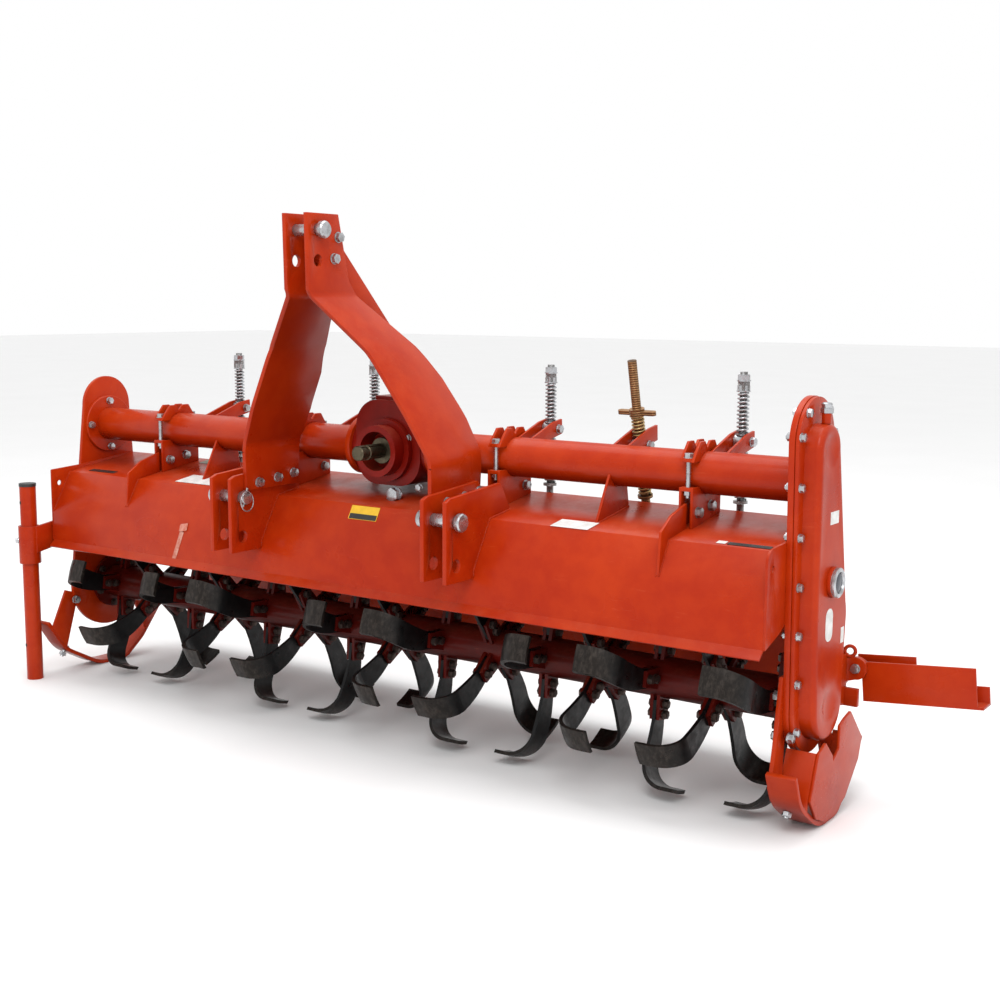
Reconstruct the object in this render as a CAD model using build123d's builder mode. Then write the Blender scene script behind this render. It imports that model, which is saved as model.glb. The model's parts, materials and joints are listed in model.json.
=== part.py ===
from build123d import *
from math import atan2, cos, degrees, hypot, radians, sin
import os

os.makedirs("parts", exist_ok=True)

# Tractor-mounted rotavator. Working frame: X runs along the rotor towards the side drive,
# Y runs to the rear and Z up. x = 0 is the input shaft, y = 0 the main tube, and the machine
# rests at ground_z. Every piece is moved to the centre of its footprint as it is written.

# ---- main stations --------------------------------------------------------------------
tube_z = 704.0                # main tube's axis
ground_z = 15.0               # under the skids and the stand
tube_d = 88.9
tube_wall = 8.0
rotor_y = -5.0
rotor_z = 258.0
left_plate_x = -1075.0        # outer face of the left side plate
plate_t = 10.0                # side plate
case_x = 1029.0               # inner face of the side drive's back plate
case_plate_t = 12.0

# ---- hood -----------------------------------------------------------------------------
sheet_t = 4.0
hood_front_y = -200.0         # flat front face
hood_fold_z = 478.0           # fold between the flat front and the sloped face
hood_skirt_z = 401.0          # where the lip starts
lip_out = 17.0
lip_drop = 16.0
hood_top_y = -140.0           # fold between the sloped face and the top
hood_top_z = tube_z - 122.0
hood_rear_y = 80.0
hood_rear_z = tube_z - 86.6
end_t = 5.0                   # end plates between the hood and the side plate or drive

# ---- hitch ----------------------------------------------------------------------------
hitch_span = 629.0            # between the middles of the two pairs of plates
hitch_gap = 50.0              # clear width between a pair
hitch_t = 10.0
hitch_pin_y = -262.0
hitch_pin_z = tube_z - 114.0
hitch_pin_d = 28.0
hitch_hole_drop = 94.0        # free lower hole below the pin
hitch_hole_d = 29.0
mast_height = 610.0           # top pin above the lower pins
mast_pin_y = -335.0
mast_gap = 52.0
mast_t = 10.0
mast_pin_d = 25.0
mast_hole_drop = 65.0         # free second hole below the top pin
mast_hole_d = 25.8

# ---- rotor ----------------------------------------------------------------------------
rotor_tube_d = 88.9
tip_r = 236.0
stations = 15
station_pitch = 142.0
tine_t = 8.0
tine_w = 42.0
tine_foot = 84.0              # sideways reach of a tine's foot
tine_bend_r = 54.0
tines_per_station = 4
first_angle = 81.0            # degrees that the first station's tines are turned
helix_step = 45.0             # degrees from one station to the next
cheek_t = 8.0
cheek_r = 92.0

# ---- side drive -----------------------------------------------------------------------
case_half = 90.0              # radius of the back plate's round top
case_y = -33.0
case_top_z = tube_z + 81.0    # centre of the back plate's round top
case_low_half = 102.0
cover_half = 53.0
cover_y = -40.0
cover_top_z = tube_z + 66.0
cover_mid_half = 83.0         # bulge over the middle gear
cover_mid_y = -5.0
cover_mid_z = 430.0
cover_low_half = 72.0
cover_depth = 42.0

# ---- springs, rods and trailing board -------------------------------------------------
rod_xs = (-650.0, -178.0, 346.5, 826.5)
lift_x = 595.0
swivel_y = 105.0
swivel_z = tube_z + 58.0
rod_d = 16.0
rod_top_z = swivel_z + 146.0
swivel_d = 30.0
ear_gap = 30.0
ear_t = 6.0
hinge_y = 70.0                # trailing board's hinge
hinge_z = hood_rear_z - 23.4
hinge_d = 16.0
eye_y = swivel_y              # rods hang straight down to their eyes on the board
eye_z = hinge_z - 4.0
eye_pin_d = 12.0
board_t = 4.0
run = 0.5                     # running clearance on pins and rods

# ---- skids and stands -----------------------------------------------------------------
skid_w = 56.0
guard_t = 6.0
guard_gap = 4.0               # guard to the side drive's cover
skid_t = 10.0
stand_x = -1106.0
stand_y = -245.0
stand_tube_d = 43.0
stand_wall = 4.0
stand_sleeve_d = 57.0
stand_top_z = 548.0
sleeve_low_z = 338.0
sleeve_high_z = 440.0
leg_len = 249.0
leg_tail = 13.0               # web and rear flange beyond the front flange
leg_pivot_x = 1060.0
leg_pivot_y = 206.0
leg_pivot_z = 286.0
leg_h = 85.0
leg_above = 14.0              # front flange above the pivot's line
leg_rise = 5.2                # degrees above level when swung out

# ---- derived --------------------------------------------------------------------------
left_inner_x = left_plate_x + plate_t
leg_below = leg_h - leg_above
case_out_x = case_x + case_plate_t
cover_x = case_out_x + cover_depth
hood_left = left_inner_x + end_t
hood_right = case_x - end_t
hitch_half = hitch_span / 2
pair_half = hitch_gap / 2 + hitch_t
mast_pin_z = hitch_pin_z + mast_height
leg_end_x = leg_pivot_x + (leg_len + leg_tail) * cos(radians(leg_rise)) + leg_below * sin(radians(leg_rise))
machine_left = stand_x - stand_sleeve_d / 2
mid_x = (machine_left + leg_end_x) / 2
front_y = mast_pin_y - 34.0
board_tip_y = 300.0
mid_y = (front_y + board_tip_y) / 2


def save(part, name):
    """Moves a finished piece to the footprint's centre, labels it and writes it."""
    moved = part.moved(Location((-mid_x, -mid_y, -ground_z)))
    moved.label = name
    export_step(moved, f"parts/{name}.step")


def plate(points, x, t, holes=()):
    """A flat plate across X from its (y, z) outline, with round holes (y, z, d)."""
    with BuildPart() as body:
        with BuildSketch(Plane.YZ.offset(x)):
            with BuildLine():
                Polyline(*points, close=True)
            make_face()
            for y, z, d in holes:
                with Locations((y, z)):
                    Circle(d / 2, mode=Mode.SUBTRACT)
        extrude(amount=t)
    return body.part


def bar_x(x0, x1, y, z, d, bore=0.0):
    """A round bar or tube along X."""
    with BuildPart() as body:
        with BuildSketch(Plane.YZ.offset(x0)):
            with Locations((y, z)):
                Circle(d / 2)
                if bore:
                    Circle(bore / 2, mode=Mode.SUBTRACT)
        extrude(amount=x1 - x0)
    return body.part


# ---- gearbox --------------------------------------------------------------------------
stay_gap = 30.0               # lug between the two mast stays
stay_low_y = 24.0
stay_low_z = tube_z + 152.0
box_half_w = 96.0
box_front_y = -62.0
box_rear_y = 78.0
box_top = 116.0
box_bottom_z = hood_rear_z + 3.0
box_h = tube_z + box_top - box_bottom_z
with BuildPart() as gearbox:
    with BuildSketch(Plane.XZ.offset(-box_rear_y)):
        with Locations((0, box_bottom_z + box_h / 2)):
            RectangleRounded(2 * box_half_w, box_h, 64)
    extrude(amount=box_rear_y - box_front_y)
    for side in (-1, 1):
        with BuildSketch(Plane.YZ.offset(side * box_half_w)):
            with Locations((10, tube_z)):
                Circle(70)
        extrude(amount=side * 16)
    with BuildSketch(Plane.XY.offset(tube_z + box_top - 1)):
        with Locations((0, 8)):
            RectangleRounded(110, 110, 12)
    extrude(amount=9)
    with BuildSketch(Plane.YZ.offset(-stay_gap / 2)):
        with BuildLine():
            Polyline((stay_low_y - 26, tube_z + box_top), (stay_low_y + 26, tube_z + box_top),
                     (stay_low_y + 16, stay_low_z + 16), (stay_low_y - 16, stay_low_z + 16), close=True)
        make_face()
    extrude(amount=stay_gap)
save(gearbox.part, "gearbox_housing")
flange_x = box_half_w + 16

with BuildPart() as boss:
    with BuildSketch(Plane.XZ.offset(-box_front_y)):
        with Locations((0, tube_z)):
            Circle(74)
    extrude(amount=14)
    with BuildSketch(Plane.XZ.offset(-box_front_y + 14)):
        with Locations((0, tube_z)):
            Circle(60)
    extrude(amount=32)
    with BuildSketch(Plane.XZ.offset(-box_front_y)):
        with Locations((0, tube_z)):
            Circle(46)
    extrude(amount=46, mode=Mode.SUBTRACT)
save(boss.part, "gearbox_front_boss")
boss_front_y = box_front_y - 46

# Input shaft: plain coupling end, shoulder inside the boss.
shaft_d = 35.0
shaft_tip_y = -172.0
with BuildPart() as shaft:
    with BuildSketch(Plane.XZ.offset(-box_front_y + 0.3)):
        with Locations((0, tube_z)):
            Circle(30)
    extrude(amount=24)
    with BuildSketch(Plane.XZ.offset(-box_front_y + 24)):
        with Locations((0, tube_z)):
            Circle(shaft_d / 2)
    extrude(amount=box_front_y - 24 - shaft_tip_y)
    chamfer(shaft.edges().filter_by(GeomType.CIRCLE).sort_by(Axis.Y)[0], 3)
save(shaft.part, "input_shaft")

# ---- main tubes -----------------------------------------------------------------------
for side, name in ((-1, "main_tube_left"), (1, "main_tube_right")):
    end = left_inner_x if side < 0 else case_x
    x0, x1 = sorted((side * (flange_x + 14), end))
    with BuildPart() as tube:
        with BuildSketch(Plane.YZ.offset(x0)):
            Circle(tube_d / 2)
            Circle(tube_d / 2 - tube_wall, mode=Mode.SUBTRACT)
        extrude(amount=x1 - x0)
        with BuildSketch(Plane.YZ.offset(side * flange_x)):
            with Locations((0, 0)):
                Circle(70)
        extrude(amount=side * 14)
    save(tube.part.moved(Location((0, 0, tube_z))), name)

# ---- left side plate and rotor bearing ------------------------------------------------
top_r = 78.0
top_z = tube_z + 54.0
low_r = 124.0
low_y = rotor_y - 10.0
with BuildPart() as side_plate:
    with BuildSketch(Plane.YZ.offset(left_plate_x)):
        with Locations((0, top_z)):
            Circle(top_r)
        with Locations((low_y, rotor_z)):
            Circle(low_r)
        with BuildLine():
            Polyline((-top_r, top_z), (top_r, top_z), (low_y + low_r, rotor_z),
                     (low_y - low_r, rotor_z), close=True)
        make_face()
        with Locations((rotor_y, rotor_z)):
            Circle(30, mode=Mode.SUBTRACT)
    extrude(amount=plate_t)
save(side_plate.part, "side_plate_left")

with BuildPart() as hub:
    with BuildSketch(Plane.YZ.offset(left_plate_x)):
        with Locations((rotor_y, rotor_z)):
            Circle(74)
            Circle(26, mode=Mode.SUBTRACT)
    extrude(amount=-14)
    with BuildSketch(Plane.YZ.offset(left_plate_x - 14)):
        with Locations((rotor_y, rotor_z)):
            Circle(46)
            Circle(26, mode=Mode.SUBTRACT)
    extrude(amount=-22)
save(hub.part, "rotor_bearing_left")

# ---- side drive -----------------------------------------------------------------------
with BuildPart() as back_plate:
    with BuildSketch(Plane.YZ.offset(case_x)):
        with Locations((case_y, case_top_z)):
            Circle(case_half)
        with Locations((rotor_y, rotor_z)):
            Circle(case_low_half)
        with BuildLine():
            Polyline((case_y - case_half, case_top_z), (case_y + case_half, case_top_z),
                     (rotor_y + case_low_half, rotor_z), (rotor_y - case_low_half, rotor_z), close=True)
        make_face()
        with Locations((rotor_y, rotor_z)):
            Circle(36, mode=Mode.SUBTRACT)
    extrude(amount=case_plate_t)
save(back_plate.part, "side_drive_back_plate")

# The cover: a flange a gap away from the back plate, and a box over the three gears.
flange_gap = 1.2
flange_t = 7.0
flange_in = 1.5               # flange's edge inside the back plate's
dimple_r = 36.0
dimple_deep = 6.0
dimple_ball = (dimple_r ** 2 + dimple_deep ** 2) / (2 * dimple_deep)
with BuildPart() as cover:
    with BuildSketch(Plane.YZ.offset(case_out_x)):
        circles = ((cover_y, cover_top_z, cover_half), (cover_mid_y, cover_mid_z, cover_mid_half),
                   (rotor_y, rotor_z, cover_low_half))
        for y, z, r in circles:
            with Locations((y, z)):
                Circle(r)
        for (y0, z0, r0), (y1, z1, r1) in zip(circles, circles[1:]):
            with BuildLine():
                Polyline((y0 - r0, z0), (y0 + r0, z0), (y1 + r1, z1), (y1 - r1, z1), close=True)
            make_face()
    extrude(amount=cover_depth)
    fillet(cover.faces().sort_by(Axis.X)[-1].edges(), 12)
    with BuildSketch(Plane.YZ.offset(case_out_x + flange_gap)):
        with Locations((case_y, case_top_z)):
            Circle(case_half - flange_in)
        with Locations((rotor_y, rotor_z)):
            Circle(case_low_half - flange_in)
        with BuildLine():
            Polyline((case_y - case_half + flange_in, case_top_z), (case_y + case_half - flange_in, case_top_z),
                     (rotor_y + case_low_half - flange_in, rotor_z),
                     (rotor_y - case_low_half + flange_in, rotor_z), close=True)
        make_face()
    extrude(amount=flange_t)
    with Locations((cover_x + dimple_ball - dimple_deep, cover_y, cover_top_z),
                   (cover_x + dimple_ball - dimple_deep, rotor_y, rotor_z)):
        Sphere(dimple_ball, mode=Mode.SUBTRACT)
save(cover.part, "side_drive_cover")

# Breather on top of the cover and the boss of the level glass on its face.
sight_y = -14.0
sight_z = 510.0
sight_d = 62.0
sight_boss = 8.0
breather_x = cover_x - 14.0
breather_d = 18.0
with BuildPart() as plugs:
    with BuildSketch(Plane.XY.offset(cover_top_z + cover_half)):
        with Locations((breather_x, cover_y)):
            Circle(breather_d / 2)
    extrude(amount=40)
    with BuildSketch(Plane.YZ.offset(cover_x)):
        with Locations((sight_y, sight_z)):
            Circle(sight_d / 2)
    extrude(amount=sight_boss)
save(plugs.part, "side_drive_plugs")

# ---- hood -----------------------------------------------------------------------------
hood_line = (
    (hood_front_y - lip_out, hood_skirt_z - lip_drop),
    (hood_front_y, hood_skirt_z),
    (hood_front_y, hood_fold_z),
    (hood_top_y, hood_top_z),
    (hood_rear_y, hood_rear_z),
)
with BuildPart() as hood:
    with BuildSketch(Plane.YZ.offset(hood_left)):
        with BuildLine() as fold_line:
            Polyline(*hood_line)
            offset(amount=sheet_t, side=Side.RIGHT)
        make_face()
    extrude(amount=hood_right - hood_left)
save(hood.part, "hood_sheet")

rise = (hood_rear_z - hood_top_z) / (hood_rear_y - hood_top_y)


def hood_top_at(y):
    """Height of the hood's top face at y."""
    return hood_top_z + rise * (y - hood_top_y)


# End plates stand proud of the slope, flush with the flat front.
end_top_z = hood_top_z + 10.0
end_round = 26.0
with BuildPart() as ends:
    for x, corner in ((left_inner_x, 4.0), (hood_right, end_round)):
        with BuildSketch(Plane.YZ.offset(x)):
            with BuildLine():
                FilletPolyline((hood_front_y, hood_skirt_z), (hood_front_y, end_top_z),
                               (hood_top_y + 40, end_top_z + 6), (hood_rear_y, hood_rear_z),
                               radius=(corner, 10))
                Polyline((hood_rear_y, hood_rear_z), (hood_rear_y, hood_rear_z - 90),
                         (hood_top_y, hood_skirt_z + 20), (hood_front_y, hood_skirt_z))
            make_face()
            with Locations((hood_front_y + 25, end_top_z - 38)):
                Circle(7, mode=Mode.SUBTRACT)
        extrude(amount=end_t)
save(ends.part, "hood_end_plates")

# ---- hitch plates ---------------------------------------------------------------------
hitch_front_y = hitch_pin_y - 36.0
hitch_low_z = hitch_pin_z - hitch_hole_drop - 36.0
hitch_rear_y = -62.0
hitch_line = (
    (hitch_front_y, hitch_low_z),
    (hood_front_y, hitch_low_z),
    (hood_front_y, hood_fold_z),
    (hood_top_y, hood_top_z),
    (hitch_rear_y, hood_top_at(hitch_rear_y)),
    (hitch_rear_y - 38.0, hitch_pin_z + 67.0),
    (hitch_front_y + 16.0, hitch_pin_z + 52.0),
    (hitch_front_y, hitch_pin_z + 45.0),
)
hitch_holes = (
    (hitch_pin_y, hitch_pin_z, hitch_pin_d),
    (hitch_pin_y, hitch_pin_z - hitch_hole_drop, hitch_hole_d),
)
for side, name in ((-1, "left"), (1, "right")):
    with BuildPart() as pair:
        for edge in (-pair_half, hitch_gap / 2):
            add(plate(hitch_line, side * hitch_half + edge, hitch_t, hitch_holes))
    save(pair.part, f"hitch_plates_{name}")
    pin_reach = pair_half + 14
    x0 = side * hitch_half - pin_reach
    with BuildPart() as pin:
        add(bar_x(x0, x0 + 2 * pin_reach, hitch_pin_y, hitch_pin_z, hitch_pin_d))
        add(bar_x(x0 - 8, x0, hitch_pin_y, hitch_pin_z, hitch_pin_d + 12))
    save(pin.part, f"lower_hitch_pin_{name}")

# ---- mast -----------------------------------------------------------------------------
mast_top_z = mast_pin_z + 35.0
elbow_z = 1060.0
arm_base_x = hitch_half - pair_half - mast_t
arm_low_z = hitch_pin_z + 16.0
arm_reach = 500.0             # how far the arm's bent strip is drawn to the front before it is trimmed
arm_side = (
    (mast_pin_y - 34, mast_top_z), (mast_pin_y - 30, 1074), (-300, 940), (-275, 800), (-258, 712),
    (-257, arm_low_z), (-80, arm_low_z), (-72, 712), (-75, 790), (-95, 880), (-130, 950), (-236, 1094),
    (mast_pin_y + 66, mast_top_z),
)
for side, name in ((-1, "left"), (1, "right")):
    mast_mid = mast_gap / 2 + mast_t / 2
    base_mid = arm_base_x + mast_t / 2
    with BuildPart() as arm:
        with BuildSketch(Plane.XZ.offset(arm_reach)):
            with BuildLine():
                FilletPolyline((side * mast_mid, mast_top_z + 10), (side * mast_mid, elbow_z),
                               (side * 146, 936), (side * 226, 806), (side * base_mid, 712),
                               (side * base_mid, arm_low_z - 10), radius=(24, 300, 400, 60))
            trace(line_width=mast_t)
        extrude(amount=-arm_reach)
        with BuildSketch(Plane.YZ.offset(side * hitch_span)):
            with BuildLine():
                Polyline(*arm_side, close=True)
            make_face()
            with Locations((mast_pin_y, mast_pin_z)):
                Circle(mast_pin_d / 2, mode=Mode.SUBTRACT)
            with Locations((mast_pin_y, mast_pin_z - mast_hole_drop)):
                Circle(mast_hole_d / 2, mode=Mode.SUBTRACT)
        extrude(amount=-side * hitch_span, mode=Mode.INTERSECT)
    save(arm.part, f"mast_arm_{name}")

mast_reach = mast_gap / 2 + mast_t + 12
with BuildPart() as top_pin:
    add(bar_x(-mast_reach, mast_reach, mast_pin_y, mast_pin_z, mast_pin_d))
    add(bar_x(mast_reach, mast_reach + 8, mast_pin_y, mast_pin_z, mast_pin_d + 12))
save(top_pin.part, "top_link_pin")

# Two flat stays run from the back of the mast to the lug on the gearbox.
stay_t = 8.0
stay_high_y = mast_pin_y + 54.0
stay_high_z = mast_pin_z - 30.0
stay_half = 24.0
with BuildPart() as stays:
    for x in (-stay_gap / 2 - stay_t, stay_gap / 2):
        with BuildSketch(Plane.YZ.offset(x)):
            SlotCenterToCenter(hypot(stay_high_y - stay_low_y, stay_high_z - stay_low_z), 2 * stay_half,
                               rotation=degrees(atan2(stay_high_z - stay_low_z, stay_high_y - stay_low_y)))
        extrude(amount=stay_t)
stay_mid = Location((0, (stay_high_y + stay_low_y) / 2, (stay_high_z + stay_low_z) / 2))
save(stays.part.moved(stay_mid), "mast_stays")

# Spacer between the mast plates that carries the stays' upper ends.
with BuildPart() as spacer:
    for side in (-1, 1):
        x0, x1 = sorted((side * (stay_gap / 2 + stay_t), side * mast_gap / 2))
        for y, z in ((stay_high_y + 10, stay_high_z + 14), (stay_high_y - 6, stay_high_z - 14)):
            with BuildSketch(Plane.YZ.offset(x0)):
                with Locations((y, z)):
                    Circle(9)
            extrude(amount=x1 - x0)
save(spacer.part, "mast_spacers")

# ---- saddles that carry the main tube -------------------------------------------------
inner_saddle_x = hitch_half - 8.0
saddle_xs = (-785.0, -inner_saddle_x, inner_saddle_x, 785.0)
saddle_gap = 20.0
saddle_t = 6.0
saddle_front = -66.0
saddle_rear = 62.0
clamp_gap = 26.0
seat_r = tube_d / 2
low_line = (
    (saddle_front, hood_top_at(saddle_front)),
    (saddle_rear, hood_top_at(saddle_rear)),
    (saddle_rear, tube_z - clamp_gap),
    (saddle_front, tube_z - clamp_gap),
)
cap_line = (
    (saddle_front, tube_z + clamp_gap),
    (saddle_rear, tube_z + clamp_gap),
    (saddle_rear - 14, tube_z + clamp_gap + 14),
    (30.0, tube_z + 66), (10.0, tube_z + 66), (-4.0, tube_z + 52), (-14.0, tube_z + 66),
    (-34.0, tube_z + 66), (saddle_front + 8, tube_z + clamp_gap + 12),
)
for line, name in ((low_line, "tube_saddles"), (cap_line, "tube_saddle_caps")):
    lug_z = tube_z - clamp_gap - 8 if name == "tube_saddles" else tube_z + clamp_gap
    with BuildPart() as group:
        for x in saddle_xs:
            for edge in (-saddle_gap / 2 - saddle_t, saddle_gap / 2):
                with BuildSketch(Plane.YZ.offset(x + edge)):
                    with BuildLine():
                        Polyline(*line, close=True)
                    make_face()
                    with Locations((0, tube_z)):
                        Circle(seat_r, mode=Mode.SUBTRACT)
                extrude(amount=saddle_t)
            for y0, y1 in ((saddle_front, -seat_r - 1), (seat_r + 1, saddle_rear)):
                with BuildSketch(Plane.XY.offset(lug_z)):
                    with Locations((x, (y0 + y1) / 2)):
                        Rectangle(saddle_gap, y1 - y0)
                extrude(amount=8)
    save(group.part, name)

# Two plates that brace the tubes to the hood beside the inner saddles.
brace_x = 590.0
brace_line = ((-94.0, hood_top_at(-94.0)), (41.0, hood_top_at(41.0)), (23.0, tube_z), (-34.0, tube_z))
with BuildPart() as braces:
    for x in (-brace_x, brace_x):
        with BuildSketch(Plane.YZ.offset(x - saddle_t / 2)):
            with BuildLine():
                Polyline(*brace_line, close=True)
            make_face()
            with Locations((0, tube_z)):
                Circle(seat_r, mode=Mode.SUBTRACT)
        extrude(amount=saddle_t)
save(braces.part, "tube_braces")

# Gusset plates that brace the saddles to the sloped face of the hood.
hood_slope = (hood_top_z - hood_fold_z) / (hood_top_y - hood_front_y)
gusset_line = (
    (hood_top_y - 40.0, hood_top_z - 40.0 * hood_slope), (hood_top_y, hood_top_z),
    (saddle_front, hood_top_at(saddle_front)), (saddle_front, hood_top_at(saddle_front) + 52),
    (-130.0, hood_top_z + 46), (hood_top_y - 32, hood_top_z + 18),
)
with BuildPart() as gussets:
    for x in (saddle_xs[0], saddle_xs[-1]):
        add(plate(gusset_line, x - saddle_t / 2, saddle_t))
save(gussets.part, "hood_gussets")

# ---- ears, swivels and spring rods ----------------------------------------------------
ear_line = ((-8.0, 42.0), (swivel_y - 20, swivel_z - tube_z + 16), (swivel_y + 16, swivel_z - tube_z + 22),
            (swivel_y + 18, swivel_z - tube_z - 12), (36.0, 28.0))
with BuildPart() as ears:
    for x in rod_xs + (lift_x,):
        for edge in (-ear_gap / 2 - ear_t, ear_gap / 2):
            with BuildSketch(Plane.YZ.offset(x + edge)):
                with BuildLine():
                    Polyline(*[(y, z + tube_z) for y, z in ear_line], close=True)
                make_face()
                with Locations((0, tube_z)):
                    Circle(seat_r, mode=Mode.SUBTRACT)
            extrude(amount=ear_t)
save(ears.part, "rod_ears")

swivel_w = ear_gap - 2.0
with BuildPart() as swivels:
    for x in rod_xs:
        with BuildSketch(Plane.YZ.offset(x - swivel_w / 2)):
            with Locations((swivel_y, swivel_z)):
                Circle(swivel_d / 2)
        extrude(amount=swivel_w)
        with BuildSketch(Plane.XY.offset(swivel_z - swivel_d)):
            with Locations((x, swivel_y)):
                Circle(rod_d / 2 + run)
        extrude(amount=2 * swivel_d, mode=Mode.SUBTRACT)
    for x in rod_xs:
        for side in (-1, 1):
            x0, x1 = sorted((x + side * swivel_w / 2, x + side * (ear_gap / 2)))
            with BuildSketch(Plane.YZ.offset(x0)):
                with Locations((swivel_y, swivel_z)):
                    Circle(8)
            extrude(amount=x1 - x0)
save(swivels.part, "rod_swivels")

nut_z = rod_top_z - 42.0
collar_z = eye_z + 40.0
spring_d = 27.0
eye_w = 20.0
eye_d = 28.0
eye_play = 2.0
with BuildPart() as rods:
    for x in rod_xs:
        with BuildSketch(Plane.XY.offset(eye_z)):
            with Locations((x, swivel_y)):
                Circle(rod_d / 2)
        extrude(amount=rod_top_z - eye_z)
        with BuildSketch(Plane.XY.offset(nut_z)):
            with Locations((x, swivel_y)):
                RegularPolygon(14, 6)
        extrude(amount=22)
        with BuildSketch(Plane.XY.offset(collar_z)):
            with Locations((x, swivel_y)):
                Circle(spring_d / 2 + 2)
        extrude(amount=6)
        with BuildSketch(Plane.YZ.offset(x - eye_w / 2)):
            with Locations((eye_y, eye_z)):
                Circle(eye_d / 2)
        extrude(amount=eye_w)
        with BuildSketch(Plane.YZ.offset(x - rod_d)):
            with Locations((eye_y, eye_z)):
                Circle(eye_pin_d / 2 + eye_play)
        extrude(amount=2 * rod_d, mode=Mode.SUBTRACT)
save(rods.part, "spring_rods")

spring_seat = swivel_d / 2 + 0.3
for z0, z1, name in ((swivel_z + spring_seat, nut_z, "upper_springs"),
                     (collar_z + 6, swivel_z - spring_seat, "lower_springs")):
    with BuildPart() as springs:
        for x in rod_xs:
            with BuildSketch(Plane.XY.offset(z0)):
                with Locations((x, swivel_y)):
                    Circle(spring_d / 2)
                    Circle(rod_d / 2 + 1, mode=Mode.SUBTRACT)
            extrude(amount=z1 - z0)
    save(springs.part, name)

# ---- lift rod with its tee nut --------------------------------------------------------
lift_swivel_y = 82.0
lift_swivel_z = tube_z + 38.0
lift_eye_y = 118.0
lift_lean = atan2(lift_eye_y - lift_swivel_y, lift_swivel_z - eye_z)
lift_len = hypot(lift_eye_y - lift_swivel_y, lift_swivel_z - eye_z)
lift_up = 190.0               # rod above the swivel
tee_up = 66.0                 # tee nut above the swivel
tee_half = 46.0
lift_d = 20.0
lift_plane = Plane(origin=(lift_x, lift_swivel_y, lift_swivel_z), x_dir=(1, 0, 0),
                   z_dir=(0, -sin(lift_lean), cos(lift_lean)))
with BuildPart() as lift_swivel:
    with BuildSketch(Plane.YZ.offset(lift_x - swivel_w / 2)):
        with Locations((lift_swivel_y, lift_swivel_z)):
            Circle(16)
    extrude(amount=swivel_w)
    with BuildSketch(Plane.YZ.offset(lift_x - ear_gap / 2)):
        with Locations((lift_swivel_y, lift_swivel_z)):
            Circle(8)
    extrude(amount=ear_gap)
    with BuildSketch(lift_plane.offset(-30)):
        Circle(lift_d / 2 + run)
    extrude(amount=60, mode=Mode.SUBTRACT)
save(lift_swivel.part, "lift_rod_swivel")

with BuildPart() as lift_rod:
    with BuildSketch(lift_plane.offset(-lift_len)):
        Circle(lift_d / 2)
    extrude(amount=lift_len + lift_up)
    with BuildSketch(lift_plane.offset(tee_up)):
        Circle(17)
    extrude(amount=16)
    with BuildSketch(lift_plane.offset(tee_up + 3)):
        SlotOverall(2 * tee_half, 14)
    extrude(amount=9)
    with BuildSketch(lift_plane.offset(-lift_len + 34)):
        Circle(17)
    extrude(amount=6)
    with BuildSketch(Plane.YZ.offset(lift_x - eye_w / 2)):
        with Locations((lift_eye_y, eye_z)):
            Circle(eye_d / 2)
    extrude(amount=eye_w)
    with BuildSketch(Plane.YZ.offset(lift_x - lift_d)):
        with Locations((lift_eye_y, eye_z)):
            Circle(eye_pin_d / 2 + eye_play)
    extrude(amount=2 * lift_d, mode=Mode.SUBTRACT)
save(lift_rod.part, "lift_rod")

with BuildPart() as lift_springs:
    for low, high in ((16.4, tee_up), (-lift_len + 40, -16.4)):
        with BuildSketch(lift_plane.offset(low)):
            Circle(15)
            Circle(lift_d / 2 + 1, mode=Mode.SUBTRACT)
        extrude(amount=high - low)
save(lift_springs.part, "lift_rod_springs")

# ---- trailing board -------------------------------------------------------------------
eye_lug_t = 6.0
knuckle_d = 26.0
knuckle_len = 70.0
knuckle_xs = (-960.0, -480.0, 0.0, 480.0, 940.0)
board_gap = 44.0              # board's ends inside the hood's, clear of the swinging rear leg
board_left = hood_left + board_gap
board_right = hood_right - board_gap
sheet_y = hinge_y + 6.0
sheet_z = hinge_z - 14.0
board_line = ((sheet_y, sheet_z), (eye_y + 22, sheet_z - 12), (204.0, 470.0), (268.0, 320.0),
              (board_tip_y - board_t / 2, 150.0))
with BuildPart() as board:
    with BuildSketch(Plane.YZ.offset(board_left)):
        with BuildLine():
            FilletPolyline(*board_line, radius=(40, 80, 160))
        trace(line_width=board_t)
    extrude(amount=board_right - board_left)
    for x in knuckle_xs:
        with BuildSketch(Plane.YZ.offset(x - knuckle_len / 2)):
            with Locations((hinge_y, hinge_z)):
                Circle(knuckle_d / 2)
            with BuildLine():
                Polyline((hinge_y - 6, hinge_z - 10), (hinge_y + 12, hinge_z - 4),
                         (hinge_y + 26, sheet_z - 3), (hinge_y + 7, sheet_z - 1), close=True)
            make_face()
        extrude(amount=knuckle_len)
        with BuildSketch(Plane.YZ.offset(x - knuckle_len)):
            with Locations((hinge_y, hinge_z)):
                Circle(hinge_d / 2 + run)
        extrude(amount=2 * knuckle_len, mode=Mode.SUBTRACT)
    for x, y in [(x, eye_y) for x in rod_xs] + [(lift_x, lift_eye_y)]:
        for edge in (-eye_w / 2 - 2 - eye_lug_t, eye_w / 2 + 2):
            with BuildSketch(Plane.YZ.offset(x + edge)):
                with Locations((y, eye_z)):
                    Circle(13)
                with BuildLine():
                    Polyline((y - 13, eye_z), (y + 13, eye_z), (y + 13, sheet_z - 16),
                             (y - 13, sheet_z - 6), close=True)
                make_face()
            extrude(amount=eye_lug_t)
        with BuildSketch(Plane.YZ.offset(x - eye_w / 2 - 2 - eye_lug_t)):
            with Locations((y, eye_z)):
                Circle(eye_pin_d / 2)
        extrude(amount=eye_w + 2 * (2 + eye_lug_t))
save(board.part, "trailing_board")

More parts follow.
